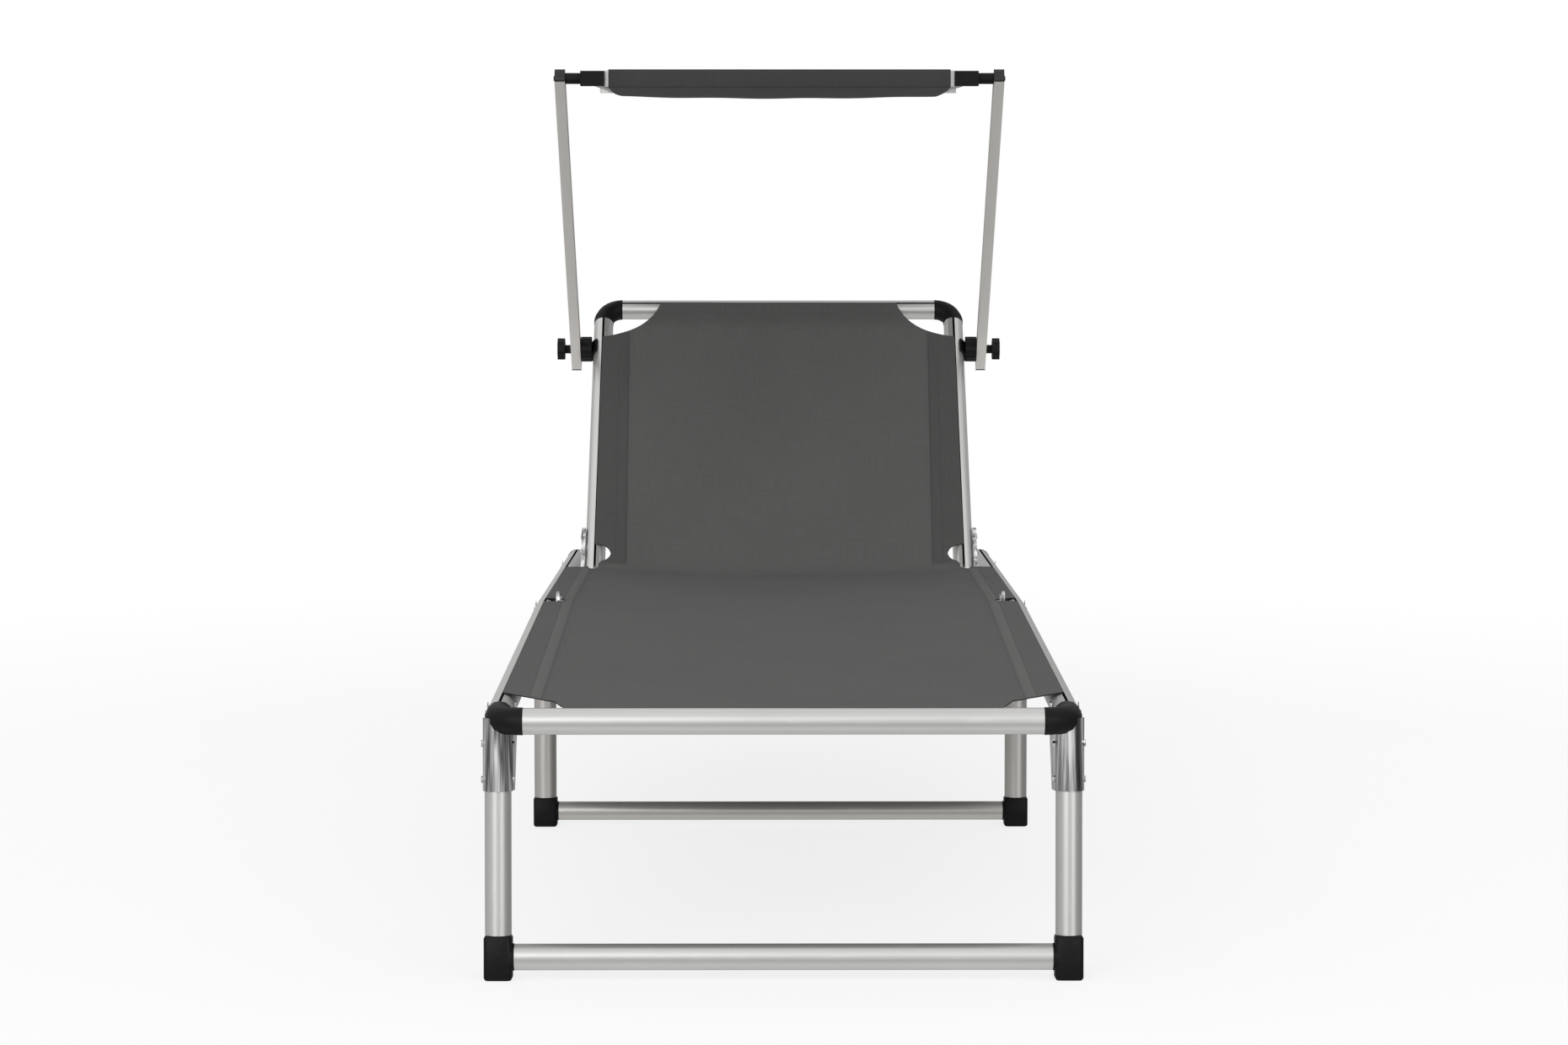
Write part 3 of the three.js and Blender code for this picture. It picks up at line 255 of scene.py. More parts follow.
def satin_metal(name, level, direction, roughness=TUBE_ROUGHNESS, capped=(), tint=WARM):
    """Anodised aluminium drawn in one direction, with fine lines, soft blotches and a few scuffs.

    The deep attribute marks the inside of a slot or bore, where the colour is darkened as painted shade. Past each
    plane (point, direction) in capped the piece is a black plastic end.
    """
    material, tree = new_material(name)
    place = tree.place()
    lines = tree.noise(tree.drawn(place, direction, *LINE_SCALES), 1.0, 3.0)
    blotch = tree.noise(place, BLOTCH_SCALE)
    scuffs = tree.noise(tree.drawn(place, direction, *SCUFF_SCALES), 1.0, 5.0, 0.7)
    tone = tree.math("ADD", tree.spread(lines, -LINE_TONE, LINE_TONE),
                     tree.spread(blotch, 1 - BLOTCH_TONE, 1 + BLOTCH_TONE))
    # Painted shade: the colour darkens in slots and bores, by the deep attribute
    tone = tree.math("MULTIPLY", tone, tree.span(tree.attribute("deep"), 0, 1, 1.0, SLOT_PAINTED_SHADE))
    base = tree.shade(tone, level, tint)
    rough = tree.math("ADD", tree.spread(lines, roughness - LINE_ROUGHNESS, roughness + LINE_ROUGHNESS),
                      tree.span(scuffs, *SCUFF_RANGE, 0.0, SCUFF_ROUGHNESS))
    metallic = METAL_SHARE
    if capped:
        past = 0.0
        for point, outward in capped:
            past = tree.math("MAXIMUM", past, tree.beyond(place, point, outward))
        base = tree.mix(past, base, grey(PLASTIC_LEVEL))
        rough = tree.math("ADD", rough, tree.math("MULTIPLY", past, CAP_ROUGHNESS))
        metallic = tree.span(past, 0, 1, METAL_SHARE, 0.0)
    tree.surface({
        "Base Color": base,
        "Metallic": metallic,
        "Roughness": rough,
        "Normal": tree.bump(lines, 0.02, 0.0002),
    })
    return material


def bright_steel():
    """Plated sheet steel: mirror-like, with the faint long waves of its rolled surface. Its colour holds darker
    and brighter bands, painted reflection of a studio with dark and pale walls; the same noise varies its
    roughness.
    """
    material, tree = new_material("bright_steel")
    place = tree.place()
    reflection_streaks = tree.noise(place, STEEL_REFLECTION_STREAKS)
    waves = tree.noise(place, STEEL_WAVES, 1.0)
    tree.surface({
        # Painted reflection: dark and bright bands in the base colour
        "Base Color": tree.ramp(reflection_streaks, STEEL_REFLECTION_LEVELS, COOL),
        "Metallic": 1.0,
        "Roughness": tree.spread(reflection_streaks, 0.04, 0.10),
        "Normal": tree.bump(waves, 1.0, STEEL_WAVE_HEIGHT),
    })
    return material


def moulded_plastic():
    """Black moulded plastic with a fine grain, slight flow marks and paler rubbed spots."""
    material, tree = new_material("black_plastic")
    place = tree.place()
    grain = tree.noise(place, GRAIN_SCALE)
    flow = tree.noise(place, FLOW_SCALE, 3.0)
    wear = tree.noise(place, WEAR_SCALE, 4.0, 0.7)
    worn = tree.span(wear, *WEAR_RANGE, 0.0, 1.0)
    tree.surface({
        "Base Color": tree.mix(worn, grey(PLASTIC_LEVEL, WARM), grey(PLASTIC_LEVEL * PLASTIC_WORN, WARM)),
        "Roughness": tree.spread(flow, *PLASTIC_ROUGHNESS),
        "Specular IOR Level": PLASTIC_SPECULAR,
        "Normal": tree.bump(grain, 0.18, 0.0003),
    })
    return material


# Woven cloth. Triples of scales are across the cloth, along it, and 1 for its map's empty third axis
SLING_LEVEL = 0.102
SLING_PITCH = 0.0011
CANOPY_LEVEL = 0.085
CANOPY_PITCH = 0.0007
WEAVE_TONE = (0.86, 1.12)
SLUB_SCALES = (900, 25, 1)
PICK_SCALES = (25, 900, 1)
THREAD_TONE = 0.05
CLOTH_BLOTCH_SCALES = (7, 5, 1)
CLOTH_BLOTCH_TONE = 0.03
HEM_CHANGE = 0.24
STITCH_PITCH = 0.0038
STITCH_SHARE = 0.72
STITCH_WIDTH = 0.0009
STITCH_SHADE = 0.78
CLOTH_SPECULAR = 0.06
DARK_EDGE_LEVELS = (0.012, 0.03)
RIB_SCALE = 900.0


def stitches(tree, across, along, rows):
    """1 on the stitches of the rows, which lie at places across and run along."""
    beat = tree.math("FRACT", tree.math("DIVIDE", along, STITCH_PITCH))
    found = 0.0
    for row in rows:
        found = tree.math("MAXIMUM", found, tree.math("COMPARE", across, row, STITCH_WIDTH / 2))
    return tree.math("MULTIPLY", tree.math("LESS_THAN", beat, STITCH_SHARE), found)


def mesh_cloth(name, level, pitch, side_rows, cross_rows):
    """Woven coated mesh, by a UV map in metres.

    The hem attribute marks the doubled strips, and inset is the way in from the side. The rows of stitches
    are given by their inset, and by their place along the cloth.
    """
    material, tree = new_material(name)
    place = tree.node("ShaderNodeUVMap", uv_map="cloth").outputs["UV"]
    split = tree.node("ShaderNodeSeparateXYZ", {"Vector": place}).outputs
    turn = math.pi / pitch
    across = tree.math("SINE", tree.math("MULTIPLY", split["X"], turn))
    along = tree.math("SINE", tree.math("MULTIPLY", split["Y"], turn))
    weave = tree.math("ADD", tree.math("MULTIPLY", tree.math("MULTIPLY", across, along), 0.5), 0.5)
    slub = tree.noise(place, SLUB_SCALES)
    pick = tree.noise(place, PICK_SCALES)
    blotch = tree.noise(place, CLOTH_BLOTCH_SCALES, 3.0)
    sewn = tree.math("MAXIMUM", stitches(tree, tree.attribute("inset"), split["Y"], side_rows),
                     stitches(tree, split["Y"], split["X"], cross_rows))
    hem = tree.math("ADD", 1.0, tree.math("MULTIPLY", tree.attribute("hem"), HEM_CHANGE))
    tone = tree.span(weave, 0, 1, *WEAVE_TONE)
    for thread in (slub, pick):
        tone = tree.math("ADD", tone, tree.spread(thread, -THREAD_TONE, THREAD_TONE))
    tone = tree.math("MULTIPLY", tone, tree.spread(blotch, 1 - CLOTH_BLOTCH_TONE, 1 + CLOTH_BLOTCH_TONE))
    tone = tree.math("MULTIPLY", tone, hem)
    tone = tree.math("MULTIPLY", tone, tree.span(sewn, 0, 1, 1.0, STITCH_SHADE))
    height = tree.math("ADD", tree.math("ADD", weave, tree.math("MULTIPLY", slub, 0.4)), sewn)
    tree.surface({
        "Base Color": tree.shade(tone, level, WARM),
        "Roughness": 0.85,
        "Sheen Weight": 0.02,
        "Sheen Roughness": 0.5,
        "Specular IOR Level": CLOTH_SPECULAR,
        "Normal": tree.bump(height, 0.35, 0.0004),
    })
    return material


def dark_edge_cloth():
    """Dark material on the cut edges of the cloth, where its thickness shows, with a fine rib."""
    material, tree = new_material("dark_edge_cloth")
    rib = tree.noise(tree.place(), RIB_SCALE)
    tree.surface({
        "Base Color": tree.mix(rib, grey(DARK_EDGE_LEVELS[0]), grey(DARK_EDGE_LEVELS[1])),
        "Roughness": 0.8,
        "Specular IOR Level": CLOTH_SPECULAR,
        "Normal": tree.bump(rib, 0.3, 0.0003),
    })
    return material


EDGE_CLOTH = dark_edge_cloth()


# Cloth pieces
CLOTH_THICKNESS = 0.0011
EDGE_SPLIT_DEG = 50
TUCK = 0.004


def shade_smooth(mesh):
    mesh.polygons.foreach_set("use_smooth", [True] * len(mesh.polygons))


def point_values(mesh, name, values):
    mesh.attributes.new(name, "FLOAT", "POINT").data.foreach_set("value", values)


def cloth_piece(name, places, faces, flat, hem, inset, material):
    """A cloth sheet by the place, flat place, hem tone and inset of each of its points."""
    mesh = bpy.data.meshes.new(name)
    mesh.from_pydata(places, [], faces)
    uv = mesh.uv_layers.new(name="cloth")
    for loop in mesh.loops:
        uv.data[loop.index].uv = flat[loop.vertex_index]
    point_values(mesh, "hem", hem)
    point_values(mesh, "inset", inset)
    shade_smooth(mesh)
    mesh.materials.append(material)
    piece = bpy.data.objects.new(name, mesh)
    scene.collection.objects.link(piece)
    return piece


def tuck_edges(piece, in_slot, down):
    """Turns the edges that lie over a slot down into it."""
    bm = bmesh.new()
    bm.from_mesh(piece.data)
    rim = [edge for edge in bm.edges if edge.is_boundary and all(in_slot(v.co) for v in edge.verts)]
    made = bmesh.ops.extrude_edge_only(bm, edges=rim)
    for vertex in made["geom"]:
        if isinstance(vertex, bmesh.types.BMVert):
            vertex.co += down(vertex.co) * TUCK
    bm.to_mesh(piece.data)
    bm.free()


def thicken(piece):
    """Gives a cloth sheet its thickness, with the darker edge material as its second material."""
    piece.data.materials.append(EDGE_CLOTH)
    solid = piece.modifiers.new("thickness", "SOLIDIFY")
    solid.thickness = CLOTH_THICKNESS
    solid.offset = 0
    solid.material_offset_rim = 1
    edges = piece.modifiers.new("edges", "EDGE_SPLIT")
    edges.split_angle = math.radians(EDGE_SPLIT_DEG)


# Flat outlines
GRID = 0.0115
ROW_NEAR = 3 * GRID
EDGE_CLEAR = 0.2 * GRID
STEP_CLEAR = 0.3 * GRID
CDT_SLACK = 1e-7


def ellipse_points(centre, radii, start_deg, end_deg, steps):
    points = []
    for i in range(steps + 1):
        turn = math.radians(start_deg + (end_deg - start_deg) * i / steps)
        points.append((centre[0] + radii[0] * math.cos(turn), centre[1] + radii[1] * math.sin(turn)))
    return points


def curve_points(start, control, end, steps):
    points = []
    for i in range(steps + 1):
        t = i / steps
        points.append(tuple((1 - t) ** 2 * a + 2 * t * (1 - t) * b + t * t * c
                            for a, b, c in zip(start, control, end)))
    return points


def edges_of(outline):
    return zip(outline, outline[1:] + outline[:1])


def closed_outline(right_side):
    """A symmetric outline from its right half, listed from the bottom up, with its edges divided."""
    made = []
    for (ax, ay), (bx, by) in edges_of(right_side + [(-x, y) for x, y in reversed(right_side)]):
        count = max(1, round(math.hypot(bx - ax, by - ay) / GRID))
        made += [(ax + (bx - ax) * i / count, ay + (by - ay) * i / count) for i in range(count)]
    return made


def inside(point, outline):
    x, y = point
    found = False
    for (ax, ay), (bx, by) in edges_of(outline):
        if (ay > y) != (by > y) and x < (bx - ax) * (y - ay) / (by - ay) + ax:
            found = not found
    return found


def edge_distance(point, edges):
    x, y = point
    best = 1.0
    for (ax, ay), (bx, by) in edges:
        dx, dy = bx - ax, by - ay
        share = min(1, max(0, ((x - ax) * dx + (y - ay) * dy) / (dx * dx + dy * dy)))
        best = min(best, math.hypot(x - ax - dx * share, y - ay - dy * share))
    return best


def smooth(value, low, high):
    share = min(1, max(0, (value - low) / (high - low)))
    return share * share * (3 - 2 * share)


def line_direction(angle):
    return Vector((0, math.cos(angle), math.sin(angle)))


def normal_of(direction):
    return Vector((0, -direction.z, direction.y))


# Sling. Places along it are by the length of cloth from the front rail
CLOTH_LIFT = TUBE_RADIUS + 0.0006
SPLIT_SHARE = 0.55

# Its outline: tongue and corners at the front rail, notch at the fold, notch at the backrest, cuts at the top
TONGUE_HALF = 0.213
CORNER_HALF = 0.224
CORNER_INSET = 0.049
CORNER_CUT = 0.100
FOLD_NOTCH = (0.024, 0.018)
TAB_GAP = 0.005
BACK_NOTCH = (0.021, 0.021)
TOP_CUT_WIDTH = 0.078
TOP_CUT_HEIGHT = 0.066
TOP_CUT_SHARE = 0.81

# Its shape: the bend up to the backrest, beside which the seat's tabs stay flat, the sag and the ripples
BEND_RADIUS = 0.050
BEND_STEP = 0.45
LAST_ROW_GAP = 0.4
TAB_TURN = (0.020, 0.012)
TAB_SLACK = 0.001
SAG = 0.009
SAG_ENDS = 0.12
RIPPLE = 0.0004

# Its doubled strips and hems, by their way in from the side
SEAT_STRIP = (0.029, 0.039)
STRIP_TAPER = 0.007
BACK_HEM = (0.0415, 0.0365)
TOP_HEM = 0.040
TOP_HEM_TONE = 0.6
HEM_STEP = 0.0008
HEM_DOUBLED = 0.0005
SEAM_INSET = 0.0015

# Its edges that go down into slots
SLOT_SLACK = 0.0002
NOTCH_SLACK = 0.001


class SlingPath:
    """Side view of the sling: foot, seat, bend and backrest."""

    def __init__(self):
        self.front = Vector((0, FRONT_Y, RAIL_AXIS_Z + CLOTH_LIFT))
        self.flat = line_direction(0)
        self.seat = line_direction(-REAR_SLOPE)
        self.back = line_direction(BACK_ANGLE)
        self.fold_length = FOLD.y - FRONT_Y
        self.fold = self.front + self.flat * self.fold_length
        top = Vector((0, TOP_AXIS.y, TOP_AXIS.z)) + normal_of(self.back) * CLOTH_LIFT
        gap = top - self.fold
        cross = self.seat.y * self.back.z - self.seat.z * self.back.y
        to_corner = (gap.y * self.back.z - gap.z * self.back.y) / cross
        corner = self.fold + self.seat * to_corner
        turn = BACK_ANGLE + REAR_SLOPE
        tangent = BEND_RADIUS * math.tan(turn / 2)
        self.bend_start = self.fold_length + to_corner - tangent
        self.bend_end = self.bend_start + BEND_RADIUS * turn
        self.centre = corner - self.seat * tangent + normal_of(self.seat) * BEND_RADIUS
        self.leave = corner + self.back * tangent
        self.length = self.bend_end + (top - self.leave).length
        self.tab_end = self.fold_length + (PIVOT.y - TAB_GAP - FOLD.y) / math.cos(REAR_SLOPE)

    def seat_line(self, along):
        if along < self.fold_length:
            return self.front + self.flat * along, normal_of(self.flat)
        return self.fold + self.seat * (along - self.fold_length), normal_of(self.seat)

    def middle_line(self, along):
        if along <= self.bend_start:
            return self.seat_line(along)
        if along < self.bend_end:
            angle = (along - self.bend_start) / BEND_RADIUS - REAR_SLOPE
            normal = normal_of(line_direction(angle))
            return self.centre - normal * BEND_RADIUS, normal
        return self.leave + self.back * (along - self.bend_end), normal_of(self.back)

    def half_width(self, along):
        return SEAT_HALF if along < self.tab_end else BACK_HALF


sling_path = SlingPath()


def ripple(x, along):
    """Slight unevenness of stretched cloth, in metres."""
    slow = math.sin(9 * x + 5 * along) * math.sin(7 * along + 1.3)
    return RIPPLE * (slow + 0.6 * math.sin(23 * x - 11 * along))


def seat_strip(along):
    """Insets of the pale strip's two edges, which near the rail from the foot end to the fold."""
    taper = STRIP_TAPER * min(1, along / sling_path.fold_length)
    return SEAT_STRIP[0] - taper, SEAT_STRIP[1] - taper


def back_hem(along):
    """Width of the backrest's hem, which narrows towards the top."""
    share = (along - sling_path.bend_end) / (sling_path.length - sling_path.bend_end)
    return BACK_HEM[0] + (BACK_HEM[1] - BACK_HEM[0]) * min(1, max(0, share))


def hem_raise(x, along):
    """Extra height where the cloth is doubled beside the rails."""
    inset = sling_path.half_width(along) - abs(x)
    reach = seat_strip(along)[1] if along < sling_path.tab_end else back_hem(along)
    return HEM_DOUBLED * (1 - smooth(inset, reach - HEM_STEP, reach))


def hem_tone(x, along):
    """1 on the seat's pale strip, -1 on the backrest's dark hem, 0 elsewhere."""
    inset = sling_path.half_width(along) - abs(x)
    if along < sling_path.tab_end:
        near, far = seat_strip(along)
        return smooth(inset, near - HEM_STEP, near) * (1 - smooth(inset, far - HEM_STEP, far))
    side = smooth(inset, back_hem(along) - HEM_STEP, back_hem(along)) - 1
    top = smooth(sling_path.length - along, TOP_HEM - GRID, TOP_HEM + GRID) - 1
    return min(side, TOP_HEM_TONE * top)


def sling_inset(x, along):
    """Way in from the cloth's side, shifted so that one pair of rows of stitches fits strip and hem."""
    inset = sling_path.half_width(along) - abs(x)
    if along < sling_path.tab_end:
        return inset + SEAT_STRIP[1] - seat_strip(along)[1]
    return inset + SEAT_STRIP[1] - back_hem(along) + 2 * SEAM_INSET


def sling_place(x, along):
    """Place of a point of the sling, given across it and along it."""
    middle, normal = sling_path.middle_line(along)
    side = smooth(abs(x), BACK_HALF - TAB_TURN[0], BACK_HALF + TAB_TURN[1])
    if sling_path.bend_start < along <= sling_path.tab_end + TAB_SLACK and side > 0:
        flat, flat_normal = sling_path.seat_line(along)
        middle = middle.lerp(flat, side)
        normal = normal.lerp(flat_normal, side).normalized()
    ends = min(along, sling_path.length - along)
    depth = SAG * (1 - math.exp(-ends / SAG_ENDS))
    across = max(0, 1 - (x / sling_path.half_width(along)) ** 2)
    drop = depth * across - ripple(x, along) * min(1, 4 * across)
    place = middle - normal * (drop - hem_raise(x, along))
    return Vector((x, place.y, place.z))


def sling_columns(along):
    """Grid places across the sling, with a pair at each edge of its strip or hem."""
    half = sling_path.half_width(along)
    edges = seat_strip(along) if along < sling_path.tab_end else (back_hem(along),)
    insets = [edge - offset for edge in edges for offset in (0, HEM_STEP)]
    steps = [side * (half - inset) for inset in insets for side in (-1, 1)]
    count = round(half / GRID)
    plain = [half * i / count for i in range(-count + 1, count)]
    return sorted(steps + [x for x in plain if all(abs(x - step) > STEP_CLEAR for step in steps)])


def sling_rows(start, end):
    """Rows of grid places along the sling, closer together in the bend at the backrest."""
    rows = []
    along = start
    while along < end - GRID * LAST_ROW_GAP:
        rows.append((along, sling_columns(along)))
        bent = sling_path.bend_start - GRID < along < sling_path.bend_end
        along += GRID * (BEND_STEP if bent else 1)
    return rows


def sling_piece(name, outline, rows, material):
    """A piece of the sling: its flat outline triangulated on a grid, then each point put in its place."""
    points = [Vector(point) for point in outline]
    for y, columns in rows:
        near = [(a, b) for a, b in edges_of(outline) if abs(a[1] - y) < ROW_NEAR]
        for x in columns:
            if inside((x, y), outline) and edge_distance((x, y), near) > EDGE_CLEAR:
                points.append(Vector((x, y)))
    border = [tuple(range(len(outline)))]
    flat, _, faces, *_ = delaunay_2d_cdt(points, [], border, 1, CDT_SLACK)
    places, hem, inset = [[value(*point) for point in flat] for value in (sling_place, hem_tone, sling_inset)]
    return cloth_piece(name, places, faces, flat, hem, inset, material)


def make_sling(material):
    """The sling as two pieces that meet in the seat, because a piece can blend across only one joint."""
    split = sling_path.fold_length + SPLIT_SHARE * (sling_path.bend_start - sling_path.fold_length)
    make_foot_and_seat(split, material)
    make_seat_and_back(split, material)


def make_foot_and_seat(split, material):
    """The cloth from the front rail's slot over the fold to the middle of the seat."""
    notch = ellipse_points((SEAT_HALF, sling_path.fold_length), FOLD_NOTCH, -90, -270, 12)
    corner = [(TONGUE_HALF, 0), (CORNER_HALF, CORNER_INSET), (SEAT_HALF, CORNER_CUT)]
    outline = closed_outline(corner + notch + [(SEAT_HALF, split)])
    piece = sling_piece("sling_foot_cloth", outline, sling_rows(GRID, split), material)

    def in_slot(place):
        return abs(place.x) > SEAT_HALF - SLOT_SLACK or place.y < FRONT_Y + SLOT_SLACK

    tuck_edges(piece, in_slot, lambda place: Vector((0, 0, -1)))
    thicken(piece)
    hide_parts("sling_foot")
    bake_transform(piece)


def make_seat_and_back(split, material):
    """The cloth from the middle of the seat, bent up between the rails, to the top rail's slot."""
    tab, top = sling_path.tab_end, sling_path.length
    inner = BACK_HALF - BACK_NOTCH[0]
    notch_end = sling_path.bend_end + BACK_NOTCH[1]
    lower = curve_points((BACK_HALF, tab), (inner, tab), (inner, tab + BACK_NOTCH[0]), 8)
    upper = curve_points((inner, notch_end - BACK_NOTCH[0]), (inner, notch_end), (BACK_HALF, notch_end), 8)
    bow = (BACK_HALF - TOP_CUT_SHARE * TOP_CUT_WIDTH, top - TOP_CUT_SHARE * TOP_CUT_HEIGHT)
    cut = curve_points((BACK_HALF, top - TOP_CUT_HEIGHT), bow, (BACK_HALF - TOP_CUT_WIDTH, top), 12)
    outline = closed_outline([(SEAT_HALF, split), (SEAT_HALF, tab)] + lower + upper + cut)
    piece = sling_piece("sling_back_cloth", outline, sling_rows(split + GRID, top), material)
    notch_place = sling_path.middle_line(notch_end)[0]
    top_place = sling_path.middle_line(top)[0]

    def beside_seat(place):
        return abs(place.x) > SEAT_HALF - SLOT_SLACK

    def in_slot(place):
        if beside_seat(place):
            return True
        on_back = (place - notch_place).dot(sling_path.back) > -NOTCH_SLACK
        at_top = (place - top_place).dot(sling_path.back) > -SLOT_SLACK
        return on_back and (at_top or abs(abs(place.x) - BACK_HALF) < SLOT_SLACK)

    def down(place):
        return Vector((0, 0, -1)) if beside_seat(place) else -normal_of(sling_path.back)

    tuck_edges(piece, in_slot, down)
    thicken(piece)
    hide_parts("sling_seat", "sling_back")
    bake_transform(piece)


# Canopy roof
FRONT_BAR_LOW, FRONT_BAR_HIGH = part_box("canopy_front_bar")
REAR_BAR_LOW, REAR_BAR_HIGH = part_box("canopy_rear_bar")
ROOF_LOW, ROOF_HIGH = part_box("canopy_roof")
FRONT_BAR = (FRONT_BAR_LOW + FRONT_BAR_HIGH) / 2
REAR_BAR = (REAR_BAR_LOW + REAR_BAR_HIGH) / 2
ROOF_PIVOT = Vector(joints["canopy_top_tilt"]["pos_m"])
CLAMP = Vector(joints["canopy_arms_tilt"]["pos_m"])
BAR_DEPTH = FRONT_BAR_HIGH.y - FRONT_BAR_LOW.y
BAR_HEIGHT = FRONT_BAR_HIGH.z - FRONT_BAR_LOW.z
SLEEVE_GAP = 0.0009
SLEEVE_CORNER = 0.0022
SLEEVE_CORNER_STEPS = 4
SLEEVE_TONE = -1.78
ROOF_SEAM = 0.012
SEAM_HALFWAY = 0.25
SEAM_LIFTS = (0.0013, 0.0016)
ROOF_STEPS = 44
ROOF_COLUMNS = 40
ROOF_SAG = 0.0088
ROOF_SIDE_SAG = 0.0058
ROOF_SIDE_PULL = 0.002
ROOF_RIPPLE = 0.0005
ROOF_STITCHES = [0.006, 0.012]


def sleeve_corner(y, z, start_deg):
    """A quarter of a rounded corner of the sleeve, by the side that the corner lies on."""
    turns = [math.radians(start_deg + 90 * i / SLEEVE_CORNER_STEPS) for i in range(SLEEVE_CORNER_STEPS + 1)]
    return [(y + SLEEVE_CORNER * math.cos(turn), z + SLEEVE_CORNER * math.sin(turn)) for turn in turns]


def sleeve_section():
    """Section of the sleeve round the front bar, from its seam on the sheet, over the bar and under it."""
    half_depth = BAR_DEPTH / 2 + SLEEVE_GAP - SLEEVE_CORNER
    half_height = BAR_HEIGHT / 2 + SLEEVE_GAP - SLEEVE_CORNER
    under = -half_height - SLEEVE_CORNER
    seam = [(half_depth + ROOF_SEAM, under + SEAM_LIFTS[0]),
            (half_depth + ROOF_SEAM * SEAM_HALFWAY, under + SEAM_LIFTS[1])]
    rear = sleeve_corner(half_depth, half_height, 0)
    top_front = sleeve_corner(-half_depth, half_height, 90)
    low_front = sleeve_corner(-half_depth, -half_height, 180)
    return seam + [(half_depth + SLEEVE_CORNER, 0)] + rear + top_front + low_front


def roof_give(side, share):
    """Pull inwards and sag of the roof's sheet, from side to side (-1 to 1) and bar to bar (0 to 1)."""
    arch = 1 - abs(2 * share - 1) ** 3
    sag = ROOF_SIDE_SAG + (ROOF_SAG - ROOF_SIDE_SAG) * (1 - side * side)
    ripple_height = ROOF_RIPPLE * math.sin(11 * side + 4 * share)
    return ROOF_SIDE_PULL * arch * side, arch * (sag + ripple_height)


def make_roof(material):
    """The roof's sheet under the two bars, with a sleeve round each."""
    rearward = (REAR_BAR - FRONT_BAR).normalized()
    up = normal_of(rearward)
    depth = (REAR_BAR - FRONT_BAR).length
    half = (ROOF_HIGH.x - ROOF_LOW.x) / 2
    sleeve = sleeve_section()
    start, width = BAR_DEPTH / 2, depth - BAR_DEPTH
    sheet = [(start + width * i / ROOF_STEPS, sleeve[-1][1]) for i in range(ROOF_STEPS + 1)]
    section = sleeve + sheet + [(depth - y, z) for y, z in reversed(sleeve)]
    in_sheet = range(len(sleeve), len(sleeve) + len(sheet))
    lengths = [0.0]
    for (ay, az), (by, bz) in zip(section, section[1:]):
        lengths.append(lengths[-1] + math.hypot(by - ay, bz - az))
    places, flat = [], []
    for i in range(ROOF_COLUMNS + 1):
        side = -1 + 2 * i / ROOF_COLUMNS
        for index, (y, z) in enumerate(section):
            pull, sag = roof_give(side, (y - start) / width) if index in in_sheet else (0, 0)
            across = Vector((half * side - pull, 0, 0))
            places.append(FRONT_BAR + rearward * y + up * (z - sag) + across)
            flat.append((half * side, lengths[index]))
    rows = len(section)
    faces = [(i * rows + j, i * rows + j + 1, (i + 1) * rows + j + 1, (i + 1) * rows + j)
             for i in range(ROOF_COLUMNS) for j in range(rows - 1)]
    hem = [0.0 if i % rows in in_sheet else SLEEVE_TONE for i in range(len(places))]
    inset = [half - abs(x) for x, _ in flat]
    piece = cloth_piece("canopy_roof_cloth", places, faces, flat, hem, inset, material)
    thicken(piece)
    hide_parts("canopy_roof")
    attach(piece, "canopy_top")


# Stage
WORLD_LEVEL = 0.74
FLOOR_LEVELS = (0.90, 0.93)
FLOOR_BLOTCH_SCALE = 3.0
FLOOR_REACH = 30
FLOOR_DROP = 0.0005
FADE_REACH = (1.1, 2.4)
FADE_LEVELS = (0.80, 1.0)
LAMP_AIM = (0, 0.1, 0.35)
LAMP_SIZE = 3.6
LAMPS = [("key", (-3.4, -7.4, 3.0), 220), ("fill", (4.4, -6.8, 2.2), 110)]

# What glossy rays see: levels by the share of the way round from the head end, times levels by the share of
# the way up from straight below. The nodes hold the first ones divided by the scale
STUDIO_ROUND = [
    (0.00, 0.75), (0.08, 1.05), (0.14, 0.55), (0.20, 1.20), (0.26, 0.70), (0.30, 1.40), (0.335, 0.60),
    (0.37, 1.60), (0.40, 0.90), (0.425, 1.85), (0.45, 1.05), (0.475, 1.75), (0.50, 0.50), (0.525, 1.60),
    (0.55, 0.60), (0.575, 1.75), (0.60, 0.85), (0.63, 1.55), (0.66, 0.30), (0.69, 0.65), (0.73, 0.15),
    (0.77, 0.50), (0.83, 0.20), (0.89, 0.85), (0.95, 0.50), (1.00, 0.75),
]
STUDIO_RISE = [
    (0.00, 0.76), (0.17, 0.84), (0.27, 0.62), (0.36, 0.27), (0.41, 0.38), (0.46, 0.54), (0.52, 0.54),
    (0.58, 0.56), (0.68, 0.94), (0.80, 0.97), (1.00, 0.90),
]
STUDIO_SCALE = 2.0
STEEP_RANGE = (0.5, 0.9)


def studio_levels(tree):
    """Pale walls with soft darker and lighter upright bands, and a darker belt below the horizon."""
    direction = tree.node("ShaderNodeTexCoord").outputs["Generated"]
    split = tree.node("ShaderNodeSeparateXYZ", {"Vector": direction}).outputs
    azimuth = tree.math("ARCTAN2", split["X"], tree.math("MULTIPLY", split["Y"], -1))
    way_round = tree.span(azimuth, -math.pi, math.pi, 0, 1)
    rise = tree.span(tree.math("ARCSINE", split["Z"]), -math.pi / 2, math.pi / 2, 0, 1)
    bands = tree.ramp(way_round, [(share, level / STUDIO_SCALE) for share, level in STUDIO_ROUND])
    steep = tree.span(tree.math("ABSOLUTE", split["Z"]), *STEEP_RANGE, 0, 1)
    bands = tree.mix(steep, bands, grey(1 / STUDIO_SCALE))
    levels = tree.vector("MULTIPLY", bands, tree.ramp(rise, STUDIO_RISE))
    return tree.scaled(levels, STUDIO_SCALE)


